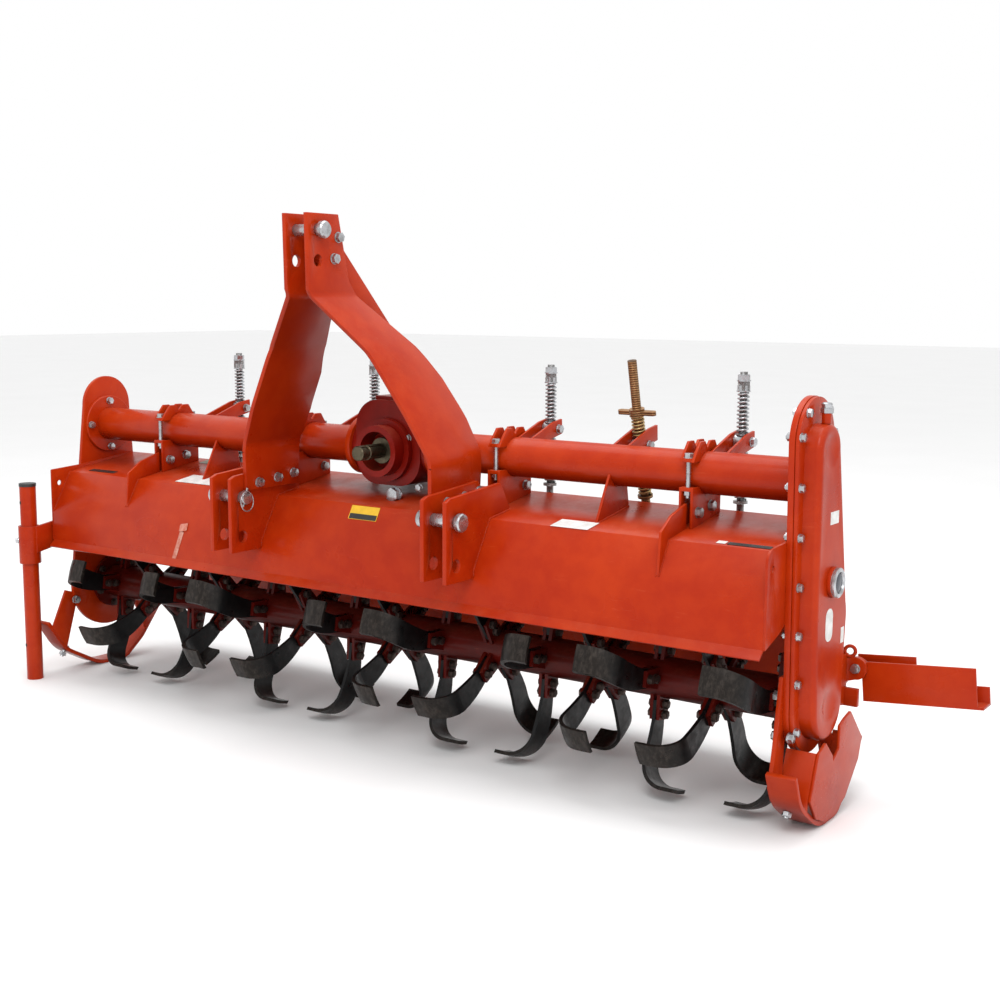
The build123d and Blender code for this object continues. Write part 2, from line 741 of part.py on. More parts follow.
# Hinge pin under the hood's rear edge, on lugs beside the board's knuckles.
lug_r = 11.0
with BuildPart() as hinge:
    add(bar_x(hood_left, hood_right, hinge_y, hinge_z, hinge_d))
    for x in knuckle_xs:
        for edge in (-knuckle_len / 2 - 14, knuckle_len / 2 + 6):
            with BuildSketch(Plane.YZ.offset(x + edge)):
                with Locations((hinge_y, hinge_z)):
                    Circle(lug_r)
                with BuildLine():
                    Polyline((hinge_y - lug_r, hinge_z), (hinge_y + lug_r - 1, hinge_z),
                             (hinge_y + lug_r - 1, hood_top_at(hinge_y + lug_r - 1) - 1.04 * sheet_t),
                             (hinge_y - lug_r, hood_top_at(hinge_y - lug_r) - 1.04 * sheet_t), close=True)
                make_face()
            extrude(amount=8)
save(hinge.part, "trailing_board_hinge")

# ---- skids ----------------------------------------------------------------------------
runner_z = ground_z + skid_t / 2
runner_rear = ((-44.0, runner_z), (52.0, runner_z), (114.0, 70.0), (178.0, 150.0))
runner_left = ((-214.0, 166.0), (-160.0, 84.0)) + runner_rear
runner_right = ((-168.0, 152.0), (-138.0, 84.0)) + runner_rear
runner_bends = (100, 120, 45, 100)
arm_t = 8.0
arm_seat = 4.0                # runner's overlap with the arm beside it
front_arm_left = ((-156.0, 250.0), (-114.0, 236.0), (-160.0, 86.0), (-204.0, 150.0))
front_arm_right = ((-112.0, 330.0), (-134.0, 200.0), (-152.0, 116.0), (-136.0, 86.0), (-100.0, 58.0),
                   (-96.0, 160.0), (-84.0, 330.0))
rear_arm = ((72.0, 206.0), (98.0, 236.0), (166.0, 138.0), (124.0, 86.0))
guard_x = cover_x + guard_gap
skid_right_x = case_x - arm_seat


def skid(runner, front_arm, x, width, arm_x):
    """A rolled runner with two flat arms up to the side plate."""
    with BuildPart() as body:
        with BuildSketch(Plane.YZ.offset(x)):
            with BuildLine():
                FilletPolyline(*runner, radius=runner_bends)
            trace(line_width=skid_t)
        extrude(amount=width)
        for arm in (front_arm, rear_arm):
            with BuildSketch(Plane.YZ.offset(arm_x)):
                with BuildLine():
                    Polyline(*arm, close=True)
                make_face()
            extrude(amount=arm_t)
    return body.part


save(skid(runner_left, front_arm_left, left_plate_x - skid_w, skid_w - arm_seat, left_plate_x - arm_t),
     "skid_left")

# The right skid also has a front plate between its arm and the guard.
shin_line = ((-74.0, 178.0), (-69.0, 176.0), (-104.0, 88.0), (-107.0, 61.0), (-112.0, 64.0), (-109.0, 90.0))
with BuildPart() as skid_right:
    add(skid(runner_right, front_arm_right, skid_right_x, guard_x - skid_right_x, case_x - arm_t))
    add(plate(shin_line, skid_right_x, guard_x - skid_right_x))
save(skid_right.part, "skid_right")

guard_line = ((-107.0, 89.0), (-87.0, 136.0), (-71.0, 177.0), (-36.0, 190.0), (0.0, 156.0), (5.0, 142.0),
              (35.0, 161.0), (36.0, 207.0), (62.0, 217.0), (94.0, 224.0), (162.0, 154.0), (146.0, 110.0),
              (79.0, 46.0), (20.0, 25.0), (-26.0, 25.0), (-74.0, 44.0))
save(plate(guard_line, guard_x, guard_t), "skid_guard_right")

# ---- front parking stand --------------------------------------------------------------
with BuildPart() as sleeve:
    with BuildSketch(Plane.XY.offset(sleeve_low_z)):
        with Locations((stand_x, stand_y)):
            Circle(stand_sleeve_d / 2)
    extrude(amount=sleeve_high_z - sleeve_low_z)
    with BuildSketch(Plane.YZ.offset(left_plate_x - arm_t)):
        with BuildLine():
            Polyline((stand_y, sleeve_low_z + 30), (-84, sleeve_low_z + 60), (-84, sleeve_high_z + 24),
                     (stand_y, sleeve_high_z), close=True)
        make_face()
    extrude(amount=arm_t)
    with BuildSketch(Plane.XY.offset(sleeve_low_z)):
        with Locations((stand_x, stand_y)):
            Circle(stand_tube_d / 2 + run)
    extrude(amount=sleeve_high_z - sleeve_low_z, mode=Mode.SUBTRACT)
save(sleeve.part, "stand_bracket")

with BuildPart() as stand:
    with BuildSketch(Plane.XY.offset(ground_z)):
        with Locations((stand_x, stand_y)):
            Circle(stand_tube_d / 2)
            Circle(stand_tube_d / 2 - stand_wall, mode=Mode.SUBTRACT)
    extrude(amount=stand_top_z - ground_z)
    with BuildSketch(Plane.XY.offset(ground_z)):
        with Locations((stand_x, stand_y)):
            Circle(stand_tube_d / 2)
    extrude(amount=4)
save(stand.part, "stand_leg")

with BuildPart() as cap:
    with BuildSketch(Plane.XY.offset(stand_top_z)):
        with Locations((stand_x, stand_y)):
            Circle(stand_tube_d / 2 + 1)
    extrude(amount=8)
save(cap.part, "stand_cap")

# ---- rear parking leg, swung out to the side ------------------------------------------
leg_depth = 50.0
leg_start = 10.0
leg_sheet = 5.0
leg_lip = 38.0                # rear flange above the web's underside
ear_len = 112.0               # taller stretch of the rear flange at the pivot
ear_up = 20.0
with BuildPart() as leg:
    with BuildSketch(Plane.XZ):
        with BuildLine():
            FilletPolyline((leg_len, leg_above), (leg_start, leg_above), (leg_start, -leg_below), radius=18)
            Polyline((leg_start, -leg_below), (leg_len, -leg_below), (leg_len, leg_above))
        make_face()
        Circle(24)
        Circle(8, mode=Mode.SUBTRACT)
    extrude(amount=-leg_sheet)
    with BuildSketch(Plane.YZ.offset(30.0)):
        with Locations((leg_depth / 2, leg_sheet / 2 - leg_below)):
            Rectangle(leg_depth, leg_sheet)
        with Locations((leg_depth - leg_sheet / 2, leg_lip / 2 - leg_below)):
            Rectangle(leg_sheet, leg_lip)
    extrude(amount=leg_len + leg_tail - 30.0)
    with BuildSketch(Plane.XZ.offset(-leg_depth + leg_sheet)):
        with BuildLine():
            Polyline((-14, -20), (-14, ear_up), (ear_len, ear_up), (ear_len, -leg_below),
                     (30, -leg_below), close=True)
        make_face()
        Circle(8, mode=Mode.SUBTRACT)
    extrude(amount=-leg_sheet)
leg_place = Location((leg_pivot_x, leg_pivot_y, leg_pivot_z)) * Location((0, 0, 0), (0, -leg_rise, 0))
save(leg.part.moved(leg_place), "rear_leg")

leg_lug_t = 8.0
web_y = rotor_y + case_low_half / 2
step_w = 12.0                 # stop block under the leg's lug
step_h = 38.0
step_rear_y = leg_pivot_y - 8.0
step_low_z = leg_pivot_z - 80.0


with BuildPart() as leg_bracket:
    with BuildSketch(Plane.XZ.offset(-leg_pivot_y + leg_lug_t + 1)):
        with Locations((leg_pivot_x, leg_pivot_z)):
            Circle(24)
        with BuildLine():
            Polyline((case_x, leg_pivot_z - 34), (leg_pivot_x, leg_pivot_z - 24),
                     (leg_pivot_x, leg_pivot_z + 24), (case_x, leg_pivot_z + 30), close=True)
        make_face()
    extrude(amount=-leg_lug_t)
    with BuildSketch(Plane.YZ.offset(case_x)):
        with BuildLine():
            Polyline((web_y, leg_pivot_z + 40), (leg_pivot_y - 1, leg_pivot_z + 30),
                     (leg_pivot_y - 1, leg_pivot_z - 34), (step_rear_y, leg_pivot_z - 34),
                     (step_rear_y, step_low_z), (step_rear_y - step_w, step_low_z),
                     (web_y, leg_pivot_z - 50), close=True)
        make_face()
    extrude(amount=case_plate_t)
    with BuildSketch(Plane.YZ.offset(case_x)):
        with Locations((step_rear_y - step_w / 2, step_low_z + step_h / 2)):
            Rectangle(step_w, step_h)
    extrude(amount=leg_pivot_x + 10 - case_x)
    add(back_plate.part, mode=Mode.SUBTRACT)
    with BuildSketch(Plane.XZ.offset(-leg_pivot_y + 1)):
        with Locations((leg_pivot_x, leg_pivot_z)):
            Circle(8 - run)
    extrude(amount=-leg_depth - 6)
save(leg_bracket.part, "rear_leg_bracket")

# ---- rotor ----------------------------------------------------------------------------
station_xs = [(i - (stations - 1) / 2) * station_pitch - 2.0 for i in range(stations)]
rotor_left = left_inner_x + 8.0
rotor_right = case_x - arm_t - 6.0
quarter = 360.0 / tines_per_station


def on_rotor(x, angle):
    """Location of a piece drawn about the X axis, pointing down, at a station of the rotor."""
    return Location((x, rotor_y, rotor_z), (angle, 0, 0))


with BuildPart() as cheek_pair:
    for edge in (-tine_t / 2 - cheek_t, tine_t / 2):
        with BuildSketch(Plane.YZ.offset(edge)):
            with BuildLine():
                Polyline((-tine_w / 2 - 3, -rotor_tube_d / 2 + 8), (tine_w / 2 + 3, -rotor_tube_d / 2 + 8),
                         (tine_w / 2 - 4, -cheek_r), (-tine_w / 2 + 4, -cheek_r), close=True)
            make_face()
        extrude(amount=cheek_t)

with BuildPart() as rotor:
    add(bar_x(rotor_left, rotor_right, rotor_y, rotor_z, rotor_tube_d))
    for x in (rotor_left, rotor_right - 10):
        add(bar_x(x, x + 10, rotor_y, rotor_z, 146))
    add(bar_x(left_plate_x - 30, rotor_left, rotor_y, rotor_z, 50))
    add(bar_x(rotor_right, case_out_x - 1, rotor_y, rotor_z, 70))
    add([cheek_pair.part.moved(on_rotor(x, first_angle + i * helix_step + k * quarter))
         for i, x in enumerate(station_xs) for k in range(tines_per_station)])
save(rotor.part, "rotor_shaft")


def tine(hand):
    """An L-shaped tine, pointing down, its foot towards hand * X."""
    with BuildPart() as body:
        with BuildSketch(Plane.XZ):
            with BuildLine():
                FilletPolyline((0, -rotor_tube_d / 2 - 9), (0, -tip_r + tine_t / 2),
                               (hand * tine_foot, -tip_r + tine_t / 2), radius=tine_bend_r)
            trace(line_width=tine_t)
        revolve(axis=Axis.X, revolution_arc=70)
        body.part = body.part.rotate(Axis.X, -35)
        with BuildSketch(Plane.YZ.offset(-100)):
            with BuildLine():
                Line((-tine_w / 2, -50), (tine_w / 2, -50))
                Line((tine_w / 2, -50), (tine_w / 2, -cheek_r))
                ThreePointArc((tine_w / 2, -cheek_r), (17, -cheek_r - 74), (-14, -tip_r - 4))
                Line((-14, -tip_r - 4), (-74, -tip_r - 4))
                ThreePointArc((-74, -tip_r - 4), (-38, -cheek_r - 64), (-tine_w / 2, -cheek_r))
                Line((-tine_w / 2, -cheek_r), (-tine_w / 2, -50))
            make_face()
        extrude(amount=200, mode=Mode.INTERSECT)
    return body.part


hands = {-1: tine(-1), 1: tine(1)}
for hand, name in ((-1, "tines_left_hand"), (1, "tines_right_hand")):
    placed = []
    for i, x in enumerate(station_xs):
        for k in range(tines_per_station):
            turned = 1 if i == 0 else -1 if i == stations - 1 else (1 if k % 2 else -1)
            if turned == hand:
                placed.append(hands[hand].moved(on_rotor(x, first_angle + i * helix_step + k * quarter)))
    with BuildPart() as tines:
        add(placed)
    save(tines.part, name)
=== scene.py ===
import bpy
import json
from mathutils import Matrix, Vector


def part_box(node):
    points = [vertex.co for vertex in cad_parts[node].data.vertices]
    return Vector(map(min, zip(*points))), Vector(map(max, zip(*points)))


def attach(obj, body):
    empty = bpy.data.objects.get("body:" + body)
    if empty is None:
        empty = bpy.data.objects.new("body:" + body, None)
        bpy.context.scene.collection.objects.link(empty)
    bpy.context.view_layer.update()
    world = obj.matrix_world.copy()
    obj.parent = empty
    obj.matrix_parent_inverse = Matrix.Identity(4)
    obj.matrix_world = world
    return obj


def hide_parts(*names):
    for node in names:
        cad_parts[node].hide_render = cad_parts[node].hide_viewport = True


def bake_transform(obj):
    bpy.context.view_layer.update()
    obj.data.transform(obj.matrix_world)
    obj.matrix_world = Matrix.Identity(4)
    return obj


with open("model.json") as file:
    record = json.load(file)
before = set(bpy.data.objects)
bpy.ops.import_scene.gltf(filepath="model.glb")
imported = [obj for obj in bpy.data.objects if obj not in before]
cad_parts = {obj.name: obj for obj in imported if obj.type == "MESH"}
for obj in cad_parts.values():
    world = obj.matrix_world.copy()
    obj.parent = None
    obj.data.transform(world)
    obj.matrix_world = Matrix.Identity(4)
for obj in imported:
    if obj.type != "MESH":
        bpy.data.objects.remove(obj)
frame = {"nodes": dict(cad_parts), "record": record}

"""Looks of a tractor-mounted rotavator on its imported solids: finishes, fasteners, springs, welds, studio."""

import json
import logging
import math
import random
from dataclasses import dataclass, field
from enum import Enum
from typing import Callable, Iterable, Sequence

import bpy
from mathutils import Matrix, Vector

logging.basicConfig(level=logging.INFO, format="%(message)s")
log = logging.getLogger("rotavator")
MM = 0.001
Place = tuple[float, float, float]


class Facing(Enum):
    """Directions that a fastener's head can face."""

    RIGHT = (1.0, 0.0, 0.0)
    LEFT = (-1.0, 0.0, 0.0)
    FRONT = (0.0, -1.0, 0.0)
    UP = (0.0, 0.0, 1.0)


SIDES = (("right", 1, Facing.RIGHT), ("left", -1, Facing.LEFT))


class MachineFrame:
    """Places on the machine in millimetres: x from the input shaft, y from the main tube, z upwards."""

    tube_z: float = 704.0

    def __init__(self) -> None:
        """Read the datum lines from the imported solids."""
        shaft_low, shaft_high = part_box("input_shaft")
        tube_low, tube_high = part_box("main_tube_right")
        self.datum = Vector(((shaft_low.x + shaft_high.x) / 2, (tube_low.y + tube_high.y) / 2,
                             (tube_low.z + tube_high.z) / 2 - self.tube_z * MM))

    def at(self, x: float, y: float, z: float) -> Vector:
        """Turn millimetres on the machine into a point in metres.

        Args:
            x: Distance to the right of the input shaft.
            y: Distance behind the main tube's axis.
            z: Height, with the main tube's axis at tube_z.

        Returns:
            The point in the shared frame.
        """
        return self.datum + Vector((x, y, z)) * MM

    def row(self, *spots: Place) -> list[Vector]:
        """Turn several places on the machine into points.

        Args:
            spots: Places in millimetres.

        Returns:
            The points in metres.
        """
        return [self.at(*spot) for spot in spots]

    def ring(self, centre: Place, radius: float, degrees: Iterable[float]) -> list[Vector]:
        """Give points on a circle that faces sideways.

        Args:
            centre: Middle of the circle in millimetres.
            radius: Its radius in millimetres.
            degrees: Angles of the points, from the rear upwards.

        Returns:
            The points in metres.
        """
        x, y, z = centre
        angles = [math.radians(value) for value in degrees]
        return [self.at(x, y + radius * math.cos(a), z + radius * math.sin(a)) for a in angles]

    def span(self, node: str) -> tuple[Vector, Vector]:
        """Give a solid's lowest and highest corners in millimetres on the machine.

        Args:
            node: Name of the solid.

        Returns:
            The two corners.
        """
        low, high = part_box(node)
        return (low - self.datum) / MM, (high - self.datum) / MM


class Graph:
    """A material's node graph, built one node at a time."""

    def __init__(self, name: str) -> None:
        """Start an empty graph with its shader and output.

        Args:
            name: Name of the material.
        """
        self.material = bpy.data.materials.new(name)
        self.material.use_nodes = True
        self.nodes = self.material.node_tree.nodes
        self.links = self.material.node_tree.links
        self.shader = self.nodes["Principled BSDF"]
        self.coords = self.nodes.new("ShaderNodeTexCoord").outputs["Object"]

    def set(self, **values: float | tuple[float, ...]) -> None:
        """Set constants on the shader's own sockets.

        Args:
            values: Socket names with underscores for spaces, and their values.
        """
        for key, value in values.items():
            self.shader.inputs[key.replace("_", " ")].default_value = value

    def join(self, source: bpy.types.NodeSocket, target: bpy.types.NodeSocket) -> None:
        """Link two sockets.

        Args:
            source: Where the value comes from.
            target: Where it goes.
        """
        self.links.new(source, target)

    def feed(self, source: bpy.types.NodeSocket, socket: str) -> None:
        """Link a value to one of the shader's sockets.

        Args:
            source: Where the value comes from.
            socket: Name of the shader's socket.
        """
        self.links.new(source, self.shader.inputs[socket])

    def mapped(self, scale: Place = (1.0, 1.0, 1.0),
               shift: Place = (0.0, 0.0, 0.0)) -> bpy.types.NodeSocket:
        """Stretch the object's coordinates.

        Args:
            scale: Scale along each axis.
            shift: Shift along each axis, in metres.

        Returns:
            The mapped coordinates.
        """
        node = self.nodes.new("ShaderNodeMapping")
        node.inputs["Scale"].default_value = scale
        node.inputs["Location"].default_value = shift
        self.join(self.coords, node.inputs["Vector"])
        return node.outputs["Vector"]

    def noise(self, scale: float, detail: float = 4.0, roughness: float = 0.55,
              vector: bpy.types.NodeSocket | None = None) -> bpy.types.NodeSocket:
        """Add a noise texture.

        Args:
            scale: Cycles a metre, roughly.
            detail: Octaves.
            roughness: Strength of the finer octaves.
            vector: Coordinates, or the object's own.

        Returns:
            The noise factor.
        """
        node = self.nodes.new("ShaderNodeTexNoise")
        node.inputs["Scale"].default_value = scale
        node.inputs["Detail"].default_value = detail
        node.inputs["Roughness"].default_value = roughness
        self.join(vector or self.coords, node.inputs["Vector"])
        return node.outputs["Fac"]

    def ramp(self, factor: bpy.types.NodeSocket, low: float, high: float,
             out_low: float = 0.0, out_high: float = 1.0) -> bpy.types.NodeSocket:
        """Map a range of a factor smoothly on another.

        Args:
            factor: The value to map.
            low: Start of the range.
            high: End of the range.
            out_low: Result at the start.
            out_high: Result at the end.

        Returns:
            The mapped value.
        """
        node = self.nodes.new("ShaderNodeMapRange")
        node.interpolation_type = "SMOOTHSTEP"
        node.inputs["From Min"].default_value = low
        node.inputs["From Max"].default_value = high
        node.inputs["To Min"].default_value = out_low
        node.inputs["To Max"].default_value = out_high
        self.join(factor, node.inputs["Value"])
        return node.outputs["Result"]

    def maths(self, operation: str, first: bpy.types.NodeSocket,
              second: bpy.types.NodeSocket | float | None = None) -> bpy.types.NodeSocket:
        """Combine two values.

        Args:
            operation: Name of the operation.
            first: First value.
            second: Second value or constant.

        Returns:
            The result.
        """
        node = self.nodes.new("ShaderNodeMath")
        node.operation = operation
        node.use_clamp = operation in {"ADD", "MULTIPLY"}
        self.join(first, node.inputs[0])
        if isinstance(second, (int, float)):
            node.inputs[1].default_value = float(second)
        elif second is not None:
            self.join(second, node.inputs[1])
        return node.outputs["Value"]

    def blend(self, factor: bpy.types.NodeSocket, first: bpy.types.NodeSocket | Place,
              second: bpy.types.NodeSocket | Place) -> bpy.types.NodeSocket:
        """Mix two colours.

        Args:
            factor: Share of the second colour.
            first: First colour.
            second: Second colour.

        Returns:
            The mixed colour.
        """
        node = self.nodes.new("ShaderNodeMix")
        node.data_type = "RGBA"
        self.join(factor, node.inputs["Factor"])
        for value, socket in ((first, node.inputs[6]), (second, node.inputs[7])):
            if isinstance(value, tuple):
                socket.default_value = (*value, 1.0)
            else:
                self.join(value, socket)
        return node.outputs[2]

    def axis_value(self, axis: str, vector: bpy.types.NodeSocket | None = None) -> bpy.types.NodeSocket:
        """Give one coordinate of the object's own space.

        Args:
            axis: X, Y or Z.
            vector: Vector to split, or the object's own coordinates.

        Returns:
            The coordinate.
        """
        node = self.nodes.new("ShaderNodeSeparateXYZ")
        self.join(vector or self.coords, node.inputs["Vector"])
        return node.outputs[axis]

    def upward(self) -> bpy.types.NodeSocket:
        """Give how far the surface faces up.

        Returns:
            The height of its normal, from -1 to 1.
        """
        geometry = self.nodes.new("ShaderNodeNewGeometry")
        return self.axis_value("Z", geometry.outputs["Normal"])

    def bumps(self, *layers: tuple[bpy.types.NodeSocket, float, float]) -> None:
        """Stack bump layers on the shader's normal.

        Args:
            layers: Height, strength and distance in metres of each layer.
        """
        previous = None
        for height, strength, distance in layers:
            node = self.nodes.new("ShaderNodeBump")
            node.inputs["Strength"].default_value = strength
            node.inputs["Distance"].default_value = distance
            self.join(height, node.inputs["Height"])
            if previous is not None:
                self.join(previous, node.inputs["Normal"])
            previous = node.outputs["Normal"]
        self.feed(previous, "Normal")


@dataclass(frozen=True)
class Enamel:
    """Glossy machine enamel with uneven colour, fine dust, orange-peel ripple and painted shade on faces that
    look down.
    """

    name: str
    colour: Place
    deep: Place
    dust: float = 0.12
    gloss: float = 0.3
    ripple: float = 0.10

    def material(self) -> bpy.types.Material:
        """Build the material.

        Returns:
            The enamel.
        """
        g = Graph(self.name)
        broad = g.ramp(g.noise(3.2, 3.0), 0.36, 0.64)
        mottled = g.ramp(g.noise(26.0, 5.0, 0.62), 0.34, 0.66)
        shade = g.maths("MULTIPLY", g.maths("ADD", g.maths("MULTIPLY", broad, 0.6),
                                            g.maths("MULTIPLY", mottled, 0.4)), 1.0)
        colour = g.blend(shade, self.deep, self.colour)
        speck = g.ramp(g.noise(430.0, 2.0, 0.7), 0.66, 0.74)
        patches = g.ramp(g.noise(9.0, 6.0, 0.7), 0.35, 0.75)
        settled = g.maths("MULTIPLY", g.ramp(g.upward(), 0.25, 0.95), patches)
        powder = g.maths("MULTIPLY", settled, self.dust)
        specks = g.maths("MULTIPLY", g.maths("MULTIPLY", speck, settled), 0.5)
        colour = g.blend(powder, colour, (0.56, 0.22, 0.11))
        colour = g.blend(specks, colour, (0.62, 0.50, 0.38))
        scuffs = g.ramp(g.noise(14.0, 6.0, 0.75, g.mapped((1.0, 6.0, 9.0))), 0.60, 0.72)
        colour = g.blend(g.maths("MULTIPLY", scuffs, 0.10), colour, (0.80, 0.20, 0.09))
        # Faces that look down are darkened towards the deep colour: painted shade on the undersides.
        shaded = g.ramp(g.upward(), -0.9, -0.1, 0.75, 0.0)
        colour = g.blend(shaded, colour, tuple(0.35 * c for c in self.deep))
        g.feed(colour, "Base Color")
        worn = g.maths("ADD", g.maths("MULTIPLY", scuffs, 0.14), g.maths("MULTIPLY", settled, 0.22))
        sheen = g.ramp(g.noise(7.0, 4.0), 0.3, 0.7, self.gloss - 0.05, self.gloss + 0.07)
        g.feed(g.maths("ADD", sheen, worn), "Roughness")
        g.set(Coat_Weight=0.08, Coat_Roughness=0.12, Specular_IOR_Level=0.13)
        peel = g.noise(120.0, 2.0, 0.4)
        waves = g.noise(11.0, 2.0, 0.4)
        g.bumps((waves, self.ripple, 0.004), (peel, self.ripple, 0.0006))
        return g.material


@dataclass(frozen=True)
class Plating:
    """Plated steel with dull patches, faint turning marks and, on threads, a ripple along one axis whose
    grooves are darkened as painted shade.
    """

    name: str
    colour: Place
    tarnish: Place
    rough: float = 0.32
    thread: float = 0.0
    lean: float = 0.0

    def material(self) -> bpy.types.Material:
        """Build the material.

        Returns:
            The plating.
        """
        g = Graph(self.name)
        patches = g.ramp(g.noise(38.0, 5.0, 0.65), 0.40, 0.70)
        grime = g.ramp(g.noise(160.0, 4.0, 0.7), 0.55, 0.75)
        colour = g.blend(g.maths("MULTIPLY", patches, 0.7), self.colour, self.tarnish)
        colour = g.blend(g.maths("MULTIPLY", grime, 0.35), colour, tuple(0.35 * c for c in self.tarnish))
        lines = g.noise(240.0, 3.0, 0.5, g.mapped((1.0, 1.0, 0.15)))
        g.feed(g.maths("ADD", g.maths("MULTIPLY", patches, 0.2),
                       g.ramp(lines, 0.3, 0.7, self.rough - 0.06, self.rough + 0.08)), "Roughness")
        g.set(Metallic=0.92)
        layers = [(lines, 0.10, 0.0002), (grime, 0.12, 0.0003)]
        if self.thread:
            wave = g.nodes.new("ShaderNodeTexWave")
            wave.bands_direction = "Z"
            wave.inputs["Scale"].default_value = 2 * math.pi / 20 / (self.thread * MM)
            turned = g.nodes.new("ShaderNodeMapping")
            turned.inputs["Rotation"].default_value = (self.lean, 0.0, 0.0)
            g.join(g.coords, turned.inputs["Vector"])
            g.join(turned.outputs["Vector"], wave.inputs["Vector"])
            # The ripple's grooves are darkened towards the tarnish: painted shade in the thread roots.
            colour = g.blend(g.ramp(wave.outputs["Fac"], 0.1, 0.6, 0.75, 0.0), colour,
                             tuple(0.25 * c for c in self.tarnish))
            layers.append((wave.outputs["Fac"], 0.9, 0.0012))
        g.feed(colour, "Base Color")
        g.bumps(*layers)
        return g.material


@dataclass(frozen=True)
class DippedSteel:
    """Black dip on forged blades, ground off to bare steel towards the tips."""

    name: str
    axis_y: float
    axis_z: float
    start: float
    end: float

    def material(self) -> bpy.types.Material:
        """Build the material.

        Returns:
            The dipped steel.
        """
        g = Graph(self.name)
        centred = g.mapped((1.0, 1.0, 1.0), (0.0, -self.axis_y, -self.axis_z))
        across = g.axis_value("Y", centred)
        along = g.axis_value("Z", centred)
        square = g.maths("POWER", g.maths("ABSOLUTE", across), 2.0)
        other = g.maths("POWER", g.maths("ABSOLUTE", along), 2.0)
        radius = g.maths("SQRT", g.maths("ADD", square, other))
        ragged = g.maths("ADD", radius, g.maths("MULTIPLY", g.noise(34.0, 6.0, 0.7), 0.05))
        bare = g.ramp(ragged, self.start + 0.025, self.end + 0.025)
        streaks = g.ramp(g.noise(60.0, 5.0, 0.7, g.mapped((2.0, 1.0, 1.0))), 0.4, 0.7)
        steel = g.blend(streaks, (0.022, 0.017, 0.014), (0.065, 0.052, 0.044))
        flecks = g.ramp(g.noise(80.0, 5.0, 0.6), 0.4, 0.7)
        scale = g.blend(flecks, (0.002, 0.002, 0.0022), (0.0055, 0.005, 0.005))
        g.feed(g.blend(g.maths("MULTIPLY", bare, 0.75), scale, steel), "Base Color")
        g.feed(g.maths("MULTIPLY", bare, 0.6), "Metallic")
        g.feed(g.ramp(g.noise(50.0, 5.0, 0.7), 0.3, 0.7, 0.26, 0.5), "Roughness")
        g.set(Specular_IOR_Level=0.25)
        g.bumps((g.noise(70.0, 4.0, 0.6), 0.25, 0.0012), (g.noise(420.0, 3.0, 0.6), 0.15, 0.0003))
        return g.material


@dataclass(frozen=True)
class Moulding:
    """Moulded or printed surface with a soft grain."""

    name: str
    colour: Place
    second: Place
    rough: float = 0.5

    def material(self) -> bpy.types.Material:
        """Build the material.

        Returns:
            The moulding.
        """
        g = Graph(self.name)
        g.feed(g.blend(g.ramp(g.noise(45.0, 5.0, 0.6), 0.35, 0.7), self.colour, self.second), "Base Color")
        g.feed(g.ramp(g.noise(90.0, 4.0), 0.3, 0.7, self.rough - 0.08, self.rough + 0.1), "Roughness")
        g.bumps((g.noise(300.0, 3.0), 0.15, 0.0003))
        return g.material


